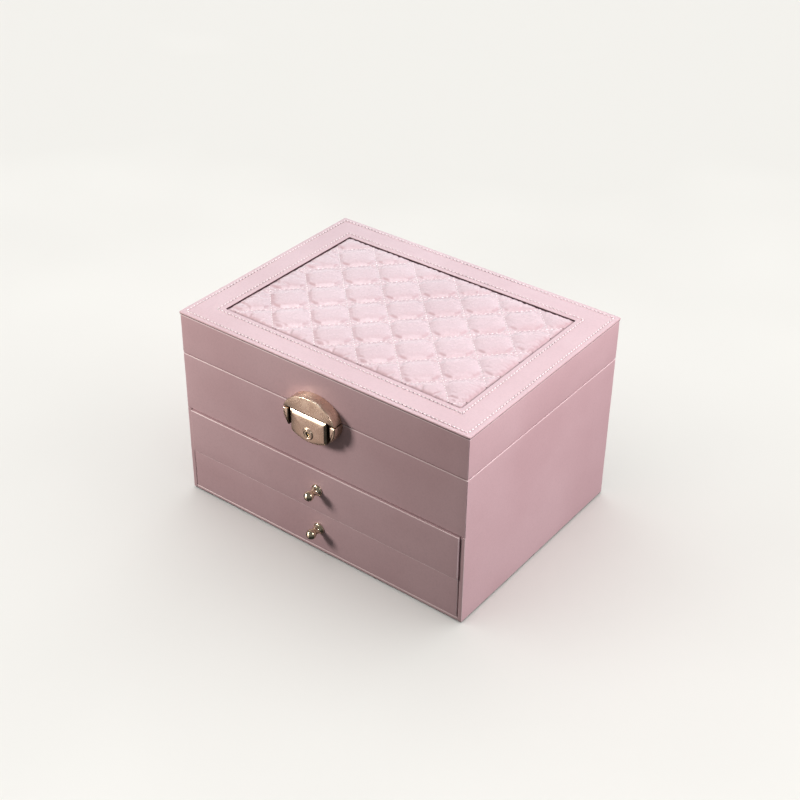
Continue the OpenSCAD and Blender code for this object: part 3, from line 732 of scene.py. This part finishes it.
satin_gold = plated("satin_gold_plated_zinc", "#e6d3c0", "#dcc8b2", 0.27, 0.5, 0.000002)
bright_gold = plated("bright_gold_plated_brass", "#e9dfc8", "#ddd1b6", 0.07, 1.5, 0.000001)
steel = plated("zinc_plated_steel", "#bcbdc0", "#a9abb0", 0.35, 0.6, 0.000008)

# The faces deep in the narrow slots, beside and behind the shield, are painted near black: painted
# shade.
slot_shade = mottled("slot_painted_shade", {"scale": 500, "detail": 3.0}, (0.3, "#3a3027"),
               (0.7, "#5a4c3e"), Metallic=1.0, Roughness=0.55)

face_y = -half_d
cap_low, cap_high = extent("lock_cap")
base_low, base_high = extent("lock_base")
button_low, button_high = extent("lock_button")
barrel_low, barrel_high = extent("lock_barrel")
lock_depth = face_y - cap_low[1]
oval_a = base_high[0]
oval_b = (cap_high[2] - base_low[2]) / 2
oval_z = (cap_high[2] + base_low[2]) / 2
base_top = extent("front_apron")[1][2] - oval_z
cap_v = cap_low[2] - oval_z
shield_v = button_high[2] - oval_z
wing_v = base_high[2] - oval_z
shield_depth = lock_depth + SHIELD_PROUD
boss_top = face_y - button_low[1]
flange_half = button_high[0]
wing_x = flange_half - 0.6
barrel_v = (barrel_low[2] + barrel_high[2]) / 2 - oval_z
barrel_r = barrel_high[0]
shield_back = lock_depth - 3.2


def on_face(outlines, depths):
    """Flat outlines of x and height about the lock's middle, each at its depth out of the front
    board. Counter-clockwise outlines with growing depths give faces that look outwards."""
    outlines = np.array(outlines, float)
    y = np.broadcast_to(face_y - np.array(depths, float)[:, None], outlines.shape[:2])
    return np.stack([outlines[..., 0], y, outlines[..., 1] + oval_z], -1)


def inner(outline, inset):
    """An outline moved inwards: a corner goes along the sum of its two edges' normals n1 + n2, by
    inset / (1 + n1 . n2)."""
    edge = np.roll(outline, -1, 0) - outline
    edge = edge / np.linalg.norm(edge, axis=1, keepdims=True)
    normal = np.stack([edge[:, 1], -edge[:, 0]], 1)
    before = np.roll(normal, 1, 0)
    share = np.maximum(1 + (normal * before).sum(1), 0.3)[:, None]
    return outline - inset * (normal + before) / share


def casting(outline, back, front, edge=CASTING_EDGE, steps=4):
    """A flat casting from depth back to depth front, whose front edge is a quarter round."""
    t = np.radians(np.linspace(0, 90, steps))
    insets = np.concatenate([[0.15, 0], edge * (1 - np.cos(t))])
    depths = np.concatenate([[back, back + 0.15], front - edge + edge * np.sin(t)])
    return loft(on_face([inner(outline, i) for i in insets], depths))


def oval_half(start, end, count, inset=0.0):
    """Points of the lock's oval from one angle to another, in degrees."""
    angle = np.radians(np.linspace(start, end, count))
    return np.stack([(oval_a - inset) * np.cos(angle), (oval_b - inset) * np.sin(angle)], 1)


def angle_at(v, inset=0.0):
    """The angle at which the oval reaches height v, in degrees."""
    return np.degrees(np.arcsin(v / (oval_b - inset)))


def lug_pair(front, back, foot):
    """The two small lugs that a spring's end sits against, from front to back and LUG high."""
    return [rounded_box([s * SPRING_X - LUG_HALF, front, foot],
                        [s * SPRING_X + LUG_HALF, back, foot + LUG], 0.2) for s in (-1, 1)]


top_arc = oval_half(angle_at(cap_v), 180 - angle_at(cap_v), OVAL_POINTS)
left_x, right_x = top_arc[-1, 0], top_arc[0, 0]
notch = SHIELD_HALF + CAP_SLOT_GAP
cap_back = np.concatenate([top_arc, [[left_x + 1, cap_v], [right_x - 1, cap_v]]])
cap_front = np.concatenate([top_arc, [
    [left_x + 1, cap_v], [-notch, cap_v], [-notch, shield_v + CAP_SLOT_GAP],
    [notch, shield_v + CAP_SLOT_GAP], [notch, cap_v], [right_x - 1, cap_v]]])
split = shield_back - CAP_SLOT_GAP
part("oval_lock_cap", join(casting(cap_back, 0.02, split, 0.05, 2),
                           casting(cap_front, split - 0.05, lock_depth)),
     satin_gold, "lid", "pale_gold_metal", "lock_cap")

plate_arc, rim_arc = (oval_half(180 - angle_at(base_top), 360 + angle_at(base_top), OVAL_POINTS,
                                inset) for inset in (0, RIM))
wing_arc = oval_half(360 + angle_at(wing_v), 360 - np.degrees(np.arccos(wing_x / oval_a)), 25)
wing_shape = np.concatenate([wing_arc[::-1], [[wing_x, wing_v]]])
rim_depth = shield_back - GUIDE_PLAY
rim = on_face([plate_arc, plate_arc, inner(plate_arc, 0.3), rim_arc, rim_arc],
              [0.1, rim_depth - 0.3, rim_depth, rim_depth, 0.1])
lug_low = extent("lock_springs")[0][2] - oval_z
lugs = lug_pair(face_y - rim_depth, face_y - 0.1, oval_z + lug_low - LUG)
left_wing = (wing_shape * [-1, 1])[::-1]
base = part("lock_base_with_wings",
            join(casting(plate_arc, 0.02, PLATE, 0.15, 2), loft(rim.swapaxes(0, 1)), *lugs,
                 casting(wing_shape, 0.05, lock_depth, WING_EDGE),
                 casting(left_wing, 0.05, lock_depth, WING_EDGE)),
            satin_gold, "chest", "pale_gold_metal", "lock_base")
# Painted shade: the wings' inner walls and the plate's face inside the rim.
repaint(base, slot_shade, lambda p, n:
        (n[:, 0] * np.sign(p[:, 0]) < -0.9) & (np.abs(p[:, 0]) < wing_x + 0.4)
        | (n[:, 1] < -0.9) & (p[:, 1] > face_y - rim_depth - 0.1))


def shield_outline(side, top, foot):
    """The shield less a margin at its sides, top and foot, as points on rays from the barrel's
    middle: a ray ends at the nearest of the two sides, the top and the oval. The four corners
    always have the same numbers, and circles take the same rays."""
    half, high, a, b = SHIELD_HALF - side, shield_v - top, oval_a - foot, oval_b - foot
    foot_v = -b * np.sqrt(1 - (half / a) ** 2)
    right = np.degrees(np.arctan2([foot_v - barrel_v, high - barrel_v], half))
    stops = np.concatenate([right, 180 - right[::-1], [right[0] + 360]])
    angle = np.radians(np.concatenate([np.linspace(p, q, n, endpoint=False) for p, q, n in
                                       zip(stops[:-1], stops[1:], (18, 24, 18, 44))]))
    c, s = np.cos(angle), np.sin(angle)
    with np.errstate(divide="ignore"):
        to_side = half / np.abs(c)
        to_top = np.where(s > 0, (high - barrel_v) / s, np.inf)
    p, q, w = (c / a) ** 2 + (s / b) ** 2, 2 * barrel_v * s / b ** 2, (barrel_v / b) ** 2 - 1
    to_oval = (-q + np.sqrt(q ** 2 - 4 * p * w)) / (2 * p)
    reach = np.minimum(np.minimum(to_side, to_top), np.where(s < 0, to_oval, np.inf))
    return np.stack([c * reach, barrel_v + s * reach], 1)


def around_barrel(r):
    """A circle about the barrel on the same rays as the shield's outline."""
    way = shield_outline(0, 0, 0) - [0, barrel_v]
    return [0, barrel_v] + r * way / np.linalg.norm(way, axis=1, keepdims=True)


bore = barrel_r + BORE_PLAY
boss_r = barrel_r + BOSS
skins = [(around_barrel(bore), shield_back), (shield_outline(0, 0, 0), shield_back),
         (shield_outline(0, 0, 0), lock_depth - 0.15),
         (shield_outline(0.12, 0.15, 0.1), lock_depth),
         (shield_outline(1.35, 2.05, 1.1), shield_depth - 0.08),
         (shield_outline(1.55, 2.3, 1.3), shield_depth),
         (around_barrel(boss_r + 0.25), shield_depth), (around_barrel(boss_r), shield_depth + 0.15),
         (around_barrel(boss_r - 0.1), boss_top - 0.3), (around_barrel(boss_r - 0.4), boss_top),
         (around_barrel(bore + 0.25), boss_top), (around_barrel(bore), boss_top - 0.25)]
shield = loft(on_face([s[0] for s in skins], [s[1] for s in skins]), closed=True)
flange = rounded_box([-wing_x + 0.12, face_y - shield_back - 1, oval_z - FLANGE_DROP],
                     [wing_x - 0.12, face_y - shield_back - 0.02, oval_z + 1], 0.2)
foot_z = oval_z - FLANGE_DROP
button_lugs = lug_pair(face_y - shield_back - 0.3, face_y - PLATE - GUIDE_PLAY, foot_z)
made = part("bevelled_lock_shield", join(shield, flange, *button_lugs), satin_gold, "shield",
            "pale_gold_metal", "lock_button", smooth_below=28)
# Painted shade: the shield's side walls in the slots and the flange's face behind the shield.
repaint(made, slot_shade, lambda p, n:
        (p[:, 1] > face_y - lock_depth + 0.1) & (np.abs(n[:, 0]) > 0.9)
        | (p[:, 1] > face_y - shield_back - 1.1) & (n[:, 1] < -0.9))


def eased(name, node_name, material, body, width):
    """A CAD node's copy with its loose triangles merged and its sharp edges eased by a bevel."""
    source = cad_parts[node_name].data.copy()
    work = bmesh.new()
    work.from_mesh(source)
    bmesh.ops.remove_doubles(work, verts=work.verts, dist=1e-6)
    bmesh.ops.dissolve_limit(work, angle_limit=0.01, verts=work.verts, edges=work.edges)
    work.to_mesh(source)
    work.free()
    source.shade_smooth()
    source.set_sharp_from_angle(angle=np.radians(35))
    source.materials.clear()
    source.materials.append(material)
    made = bpy.data.objects.new(name, source)
    bpy.context.scene.collection.objects.link(made)
    bevel = made.modifiers.new("eased", "BEVEL")
    bevel.width, bevel.segments, bevel.limit_method = width * 0.001, 2, "ANGLE"
    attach(made, body)
    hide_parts(node_name)
    return made


def revolved(profile, centre, turns=40):
    """A turned part on an axis that runs out of the front: rows of radius and distance out of the
    face, turned about the axis. The first and the last row are closed by a flat face."""
    angle = 2 * np.pi * np.arange(turns) / turns
    profile = np.array(profile, float)
    x = centre[0] + profile[:, :1] * np.cos(angle)
    z = centre[2] + profile[:, :1] * np.sin(angle)
    y = np.broadcast_to(centre[1] - profile[:, 1:], x.shape)
    return loft(np.stack([x, y, z], -1))


face = boss_top - 0.3
barrel_foot = face_y - barrel_high[1]
barrel_turn = [(barrel_r - 0.2, barrel_foot), (barrel_r, barrel_foot + 0.2),
               (barrel_r, face - 0.2), (barrel_r - 0.2, face),
               (KEY_R + 0.2, face), (KEY_R, face - 0.2), (KEY_R, face - KEY_DEPTH),
               (KEY_PIN, face - KEY_DEPTH), (KEY_PIN, face - 0.6), (KEY_PIN - 0.15, face - 0.4)]
key_z = oval_z + barrel_v
part("key_barrel", revolved(barrel_turn, [0, face_y, key_z]), bright_gold, "barrel",
     "pale_gold_metal", "lock_barrel")
# The keyway's slot under the round bore is a dark block: painted shade of the slot.
key_slot = rounded_box([-0.35, face_y - face - 0.02, key_z - KEY_R - 0.75],
                       [0.35, face_y - face + 1, key_z - KEY_R + 0.1], 0.1)
dark = mottled("key_slot_painted_shade", {"scale": 900}, (0.3, "#2a251e"), (0.7, "#40382c"),
               Metallic=1.0, Roughness=0.5)
part("key_slot", key_slot, dark, "barrel", "pale_gold_metal")

eased("lock_tail_cam", "lock_cam", steel, "barrel", 0.12)
eased("lock_catch_hook", "lock_hook", steel, "lid", 0.15)

# A coil spring is a wire round a helix: x = r cos t, y = r sin t, and z rises with t.
spring_low, spring_high = extent("lock_springs")
up = np.array([0, 0, 1])
turn = np.linspace(0, 2 * np.pi * SPRING_TURNS, 16 * SPRING_TURNS + 1)
spring_y = (spring_low[1] + spring_high[1]) / 2
rise = np.linspace(SPRING_WIRE, spring_high[2] - spring_low[2] - SPRING_WIRE, len(turn))
out = np.stack([np.cos(turn), np.sin(turn), 0 * turn], 1)
wire = np.radians(60 * np.arange(6))
coils = []
for s in (-1, 1):
    foot = np.array([s * SPRING_X, spring_y, spring_low[2]])
    middle = foot + SPRING_R * out + rise[:, None] * up
    ring = middle[:, None] + SPRING_WIRE * (np.cos(wire)[:, None] * out[:, None]
                                            - np.sin(wire)[:, None] * up)
    coils.append(loft(ring))
springs = part("coil_springs", join(*coils), steel, "chest", "plated_steel", "lock_springs",
               smooth_below=70)
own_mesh(springs)

# ---------------------------------------------------------------------------------------------
# Knobs: turned brass with a bright pale-gold plating. A domed flange sits on the drawer's front,
# a waisted neck joins it to a ball of 7 mm, and a screw from inside holds it.

BALL_R = 3.5
NECK_R = 2.3

for drawer in ("upper_drawer", "lower_drawer"):
    low, high = extent(drawer + "_knob")
    flange_r = high[0]
    ball_at = high[1] - low[1] - BALL_R
    dome = arc((flange_r - 1.3, 0.25), 1.25, 0, 80, 6)
    waist = np.linspace(0, 1, 9)[:, None]
    join_angle = np.degrees(np.arcsin((NECK_R + 0.25) / BALL_R))
    start_at = ball_at - BALL_R * np.cos(np.radians(join_angle))
    neck = np.concatenate([NECK_R + 1.1 * (1 - waist) ** 2 + 0.25 * waist ** 6,
                           1.5 + (start_at - 1.5) * waist], 1)
    ball_angle = np.radians(np.linspace(join_angle, 178, 26)[1:])
    ball = np.stack([BALL_R * np.sin(ball_angle), ball_at - BALL_R * np.cos(ball_angle)], 1)
    profile = np.concatenate([[[flange_r - 0.2, 0.02], [flange_r, 0.15]], dome, neck, ball])
    middle = [(low[0] + high[0]) / 2, high[1], (low[2] + high[2]) / 2]
    part(drawer + "_ball_knob", revolved(profile, middle, 48), bright_gold, drawer,
         "pale_gold_metal", drawer + "_knob")

# ---------------------------------------------------------------------------------------------
# Hinges and screws: two butt hinges of pale-gold plated steel on the back, leaf and knuckle
# folded from one strip, with pan-head cross screws. The lock and knobs are held by zinc-plated
# screws, sunk in the inner faces of the boards.

HEAD = 0.7
HINGE_WIDTH = 26
CROSS_DEPTH, CROSS_HALF = 0.4, 0.28

for s in ("left", "right"):
    eased(s + "_hinge_leaf_on_chest", s + "_hinge_body_leaf", satin_gold, "chest",
          0.15)
    eased(s + "_hinge_leaf_on_lid", s + "_hinge_lid_leaf", satin_gold, "lid",
          0.15)
eased("hinge_pins_ends", "hinge_pins", satin_gold, "chest", 0.2)


def screw_head(r, height, dome):
    """A head with a cross recess, as rows of rings. Height over the ring at share s of the radius
    is height + dome (1 - s^2), less the recess, a smooth step inside the cross's two arms."""
    s = np.concatenate([[1, 1], np.linspace(0.97, 0.04, 11)])
    angle = 2 * np.pi * np.arange(40) / 40
    x, v = r * s[:, None] * np.cos(angle), r * s[:, None] * np.sin(angle)
    arm = np.minimum(np.abs(x), np.abs(v))
    inside = np.clip((CROSS_HALF - arm) / 0.12 + 0.5, 0, 1) * (np.hypot(x, v) < 0.68 * r)
    z = height + dome * (1 - s[:, None] ** 2) - CROSS_DEPTH * inside
    z[0], z[1] = 0.02, height * 0.7
    return x, v, z


def heads(centres, r, height, dome):
    """Screw heads at the centres, which face the back."""
    x, v, z = screw_head(r, height, dome)
    return join(*(loft(np.stack([c[0] - x, c[1] + z, c[2] + v], -1)) for c in centres))


for name, body in (("hinge_body_screws", "chest"), ("hinge_lid_screws", "lid")):
    low, high = extent(name)
    r = (high[2] - low[2]) / 2
    hinge_inner = 2 * extent("right_hinge_body_leaf")[0][0] + HINGE_WIDTH - (high[0] - r)
    spots = [[s * x, high[1] - HEAD, low[2] + r] for s in (-1, 1)
             for x in (hinge_inner, high[0] - r)]
    part(name + "_cross_heads", heads(spots, r, 0.45, 0.25), satin_gold, body,
         "pale_gold_metal", name)

for name, body, r in (("lock_base_screws", "chest", 1.9), ("lock_cap_screws", "lid", 1.9),
                      ("upper_drawer_knob_screw", "upper_drawer", 2.6),
                      ("lower_drawer_knob_screw", "lower_drawer", 2.6)):
    low, high = extent(name)
    spots = [[x, high[1] - 1.1, (low[2] + high[2]) / 2] for x in
             ([0] if "knob" in name else [low[0] + r, high[0] - r])]
    part(name + "_cross_heads", heads(spots, r, 0.75, 0.2), steel, body, "plated_steel", name)

# ---------------------------------------------------------------------------------------------
# Top compartment: a lining of thin board under short-pile velvet, whose edge rises as a lip into
# the lid, and dividers of the same. Velvet shows light and dark patches where its pile has been
# brushed one way or another, and a pale sheen at a flat angle.

TRAY_CORNER = 1.2
LIP_INSET = 0.5
PILE = 0.45


def velvet(name, deep, pale):
    """Short-pile velvet: the pile is drawn at 0.45 mm, and brushed patches are 20 to 60 mm."""
    made, tree, shader, place = start_material(name, Roughness=0.9, Sheen_Weight=0.7,
                                               Sheen_Roughness=0.4, Specular_IOR_Level=0.2)
    brushed = noise(tree, place, 22, 3.0, Distortion=0.6)
    pile = noise(tree, place, 1000 / PILE, 3.0, Roughness=0.7)
    both = node(tree, "Math", {0: brushed, 1: node(tree, "Math", {0: pile, 1: 0.25},
                                                   operation="MULTIPLY").outputs[0]},
                operation="ADD").outputs[0]
    fluff = node(tree, "Bump", {"Height": pile, "Strength": 0.5, "Distance": 0.00015})
    fill(tree, shader, {"Base Color": ramp(tree, both, (0.45, deep), (0.8, pale)),
                        "Normal": fluff.outputs["Normal"]})
    return made


cream = velvet("short_pile_velvet", "#dcc3c4", "#eedcdb")
tray_path = rect_path(np.linspace(0, 1, 30), np.linspace(0, 1, 22), 5)


def tray(low, high, wall, floor, lip=None):
    """A lining with a rounded upper edge. Rows of rings go up the outside, over the edge, down the
    inside and in over the floor. lip is the inset and the height of a raised edge."""
    half, middle = (high - low)[:2] / 2, (high + low)[:2] / 2
    top, bed = high[2], low[2] + floor
    rows = [(0.1, 0.3, low[2] + 0.02), (0.03, 0.3, low[2] + 0.1)]
    edge = 0.0
    if lip:
        edge = lip[0]
        rows += [(0.03, 0.3, top - lip[1] - 0.1), (edge, 0.6, top - lip[1])]
    over = arc(((edge + wall) / 2, top - (wall - edge) / 2), (wall - edge) / 2, 180, 0, 7)
    rows += [(i, 0.6 + i, z) for i, z in over]
    rows += [(wall, TRAY_CORNER, bed + 0.8), (wall + 0.25, TRAY_CORNER, bed + 0.2),
             (wall + 0.9, TRAY_CORNER, bed)]
    rows += [(i, TRAY_CORNER, bed - 0.02) for i in np.linspace(8, 0.9 * half.min(), 6)]
    inset, r, z = np.array(rows, float).T
    rows = np.stack([half[0] - inset, half[1] - inset, r, z], 1)
    return loft(rect_rings(tray_path, rows, middle))


low, high = extent("compartment_liner")
floor_t = extent("long_divider")[0][2] - low[2]
side_t = high[0] - extent("right_cross_divider")[1][0] - 0.2
lip_rise = high[2] - extent("front_apron")[1][2]
part("velvet_compartment_lining", tray(low, high, side_t, floor_t, (LIP_INSET, lip_rise)), cream,
     "chest", "cream_velvet", "compartment_liner")
for name in ("long_divider", "left_cross_divider", "right_cross_divider"):
    part("velvet_" + name, rounded_box(*extent(name), 1.0, 4, 0.2), cream, "chest",
         "cream_velvet", name)

# ---------------------------------------------------------------------------------------------
# Ring rolls: five foam rolls under velvet, each with a round top and tucked ends, set side by
# side so that a ring is held in the slit between two of them.

ROLL_EDGE = 2.2


def roll(low, high):
    """A roll along X. Its section is a flat foot, two sides and a half circle, and the section
    shrinks at each end by e (1 - sqrt(1 - u^2)), where u runs to 1 at the end."""
    r = (high[1] - low[1]) / 2
    middle = (high[1] + low[1]) / 2
    top = np.radians(np.linspace(0, 180, 21))
    side = np.linspace(low[2] + 0.8, high[2] - r, 8)
    section = np.concatenate([
        np.stack([np.full(8, middle + r), side], 1),
        np.stack([middle + r * np.cos(top), high[2] - r + r * np.sin(top)], 1)[1:-1],
        np.stack([np.full(8, middle - r), side[::-1]], 1),
        [[middle - r + 0.8, low[2] + 0.02], [middle + r - 0.8, low[2] + 0.02]]])
    u = np.linspace(1, 0, 6)[:, None]
    x = np.concatenate([low[0] + ROLL_EDGE * (1 - u[:, 0]),
                        np.linspace(low[0] + ROLL_EDGE, high[0] - ROLL_EDGE, 24)[1:-1],
                        high[0] - ROLL_EDGE * (1 - u[::-1, 0])])
    gap = 0.6 * ROLL_EDGE * (1 - np.sqrt(1 - np.clip(u[:, 0], 0, 0.999) ** 2))
    shrink = np.concatenate([gap, np.zeros(22), gap[::-1]])
    dent = 0.15 * (1 - np.cos(x * 0.31 + middle)) * np.sin(x * 0.11)
    rings = np.array([inner(section, max(s, 0) + 0.1 + 0.3 * abs(d)) for s, d in zip(shrink, dent)])
    rings[..., 1] = np.maximum(rings[..., 1], low[2] + 0.02)
    return loft(np.stack([np.broadcast_to(x[:, None], rings.shape[:2]), rings[..., 0],
                          rings[..., 1]], -1))


for name in sorted(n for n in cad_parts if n.startswith("ring_roll")):
    made = part("velvet_" + name, roll(*extent(name)), cream, "chest", "cream_velvet", name,
                smooth_below=80)

# ---------------------------------------------------------------------------------------------
# Inside of the lid: velvet on the rim and on a board round the mirror, and a mirror of 2 mm glass,
# silvered at the back, with ground edges.

SKIN = 0.8


def band(outer_low, outer_high, hole, edge):
    """A flat frame with soft edges: rings go up the outside, in over the top, down the hole and
    back under. hole is the half width and the half depth of the opening."""
    bottom, top = outer_low[2] + 0.02, outer_high[2] - 0.02
    ox, oy = outer_high[:2] - 0.03
    hx, hy = hole
    near = 0.3 * edge
    rows = [(ox - edge, oy - edge, 0.4, bottom), (ox, oy, 0.6, bottom + edge),
            (ox, oy, 0.6, top - 0.1), (ox - 0.1, oy - 0.1, 0.5, top),
            (hx + 0.1, hy + 0.1, 0.8, top), (hx, hy, 0.8, top - 0.1),
            (hx, hy, 0.8, bottom + edge), (hx + near, hy + near, 1, bottom + near),
            (hx + edge, hy + edge, 1.2, bottom)]
    return loft(rect_rings(tray_path, rows), closed=True)


low, high = extent("lid_liner")
part("velvet_lid_lining", band(low, high, high[:2] - SKIN, 0.25), cream, "lid", "cream_velvet",
     "lid_liner")
mirror_low, mirror_high = extent("mirror")
part("velvet_mirror_board", band(*extent("mirror_surround"), mirror_high[:2] + 0.2, 0.8), cream,
     "lid", "cream_velvet", "mirror_surround")

glass, tree, shader, place = start_material("silvered_mirror_glass", Metallic=1.0)
haze = noise(tree, place, 12, 3.0)
smear = node(tree, "MapRange", {"Value": haze, "To Min": 0.02, "To Max": 0.06})
fill(tree, shader, {"Base Color": ramp(tree, haze, (0.3, "#e9eeee"), (0.7, "#f1f5f4")),
                    "Roughness": smear.outputs["Result"]})
hx, hy = mirror_high[:2]
z0, z1 = mirror_low[2], mirror_high[2] - 0.02
part("ground_edge_mirror", loft(rect_rings(tray_path, [
    (hx - 0.6, hy - 0.6, 0.6, z0), (hx, hy, 1, z0 + 0.6), (hx, hy, 1, z1)])), glass, "lid",
    "mirror_glass", "mirror", smooth_below=20)

# ---------------------------------------------------------------------------------------------
# Drawers: boxes of 2 mm board covered with velvet, inside and out, with loose velvet dividers.
# The wrapped fronts are glued to them, and the upper front stands out a little further.

DIVIDER_HALF = 1.2

for drawer in ("upper_drawer", "lower_drawer"):
    low, high = extent(drawer + "_sides")
    thick = high[0] - extent(drawer + "_back")[1][0]
    boards = [rounded_box([s * (high[0] - thick / 2) - thick / 2, low[1], low[2]],
                          [s * (high[0] - thick / 2) + thick / 2, high[1], high[2]], 0.5)
              for s in (-1, 1)]
    part(drawer + "_velvet_sides", join(*boards), cream, drawer, "cream_velvet", drawer + "_sides")
    for board_name in ("_back", "_bottom"):
        part(drawer + "_velvet" + board_name, rounded_box(*extent(drawer + board_name), 0.5), cream,
             drawer, "cream_velvet", drawer + board_name)
    low, high = extent(drawer + "_liner")
    part(drawer + "_velvet_lining", tray(low, high, SKIN, SKIN), cream, drawer, "cream_velvet",
         drawer + "_liner")
    low, high = extent(drawer + "_dividers")
    outer = high[0] - DIVIDER_HALF
    part(drawer + "_velvet_dividers", join(*(
        rounded_box([x - DIVIDER_HALF, low[1], low[2]], [x + DIVIDER_HALF, high[1], high[2]],
                    1.0, 4, 0.2)
        for x in ([-outer, outer] if outer > DIVIDER_HALF else [0]))),
         cream, drawer, "cream_velvet", drawer + "_dividers")

# ---------------------------------------------------------------------------------------------
# Foot: a sheet of pressed grey wool felt, glued under the base so that the chest does not scratch
# what it stands on.

felt = mottled("pressed_wool_felt",
               {"scale": 900, "detail": 5.0, "Roughness": 0.7, "Distortion": 1.5},
               (0.35, "#766e71"), (0.65, "#9a9295"), (0.7, 0.0003),
               Roughness=1.0, Sheen_Weight=0.3, Specular_IOR_Level=0.1)
low, high = extent("base_felt")
part("felt_foot", loft(rect_rings(tray_path, [
    (high[0] - 0.3, high[1] - 0.3, 2.7, low[2]), (high[0], high[1], 3, low[2] + 0.2),
    (high[0], high[1], 3, high[2] - 0.02)])), felt, "chest", "grey_felt", "base_felt")

# ---------------------------------------------------------------------------------------------
# Flags: the boxes light the chest alone, and the two cards show in its plated parts alone.

chest_only = bpy.data.collections.new("lit_by_boxes")
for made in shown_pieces():
    chest_only.objects.link(made)
for box in boxes:
    box.light_linking.receiver_collection = chest_only
plated_only = bpy.data.collections.new("lit_by_cards")
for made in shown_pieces():
    if satin_gold in made.data.materials[:] or bright_gold in made.data.materials[:]:
        plated_only.objects.link(made)
for card in cards:
    card.light_linking.receiver_collection = plated_only
    card.light_linking.blocker_collection = chest_only
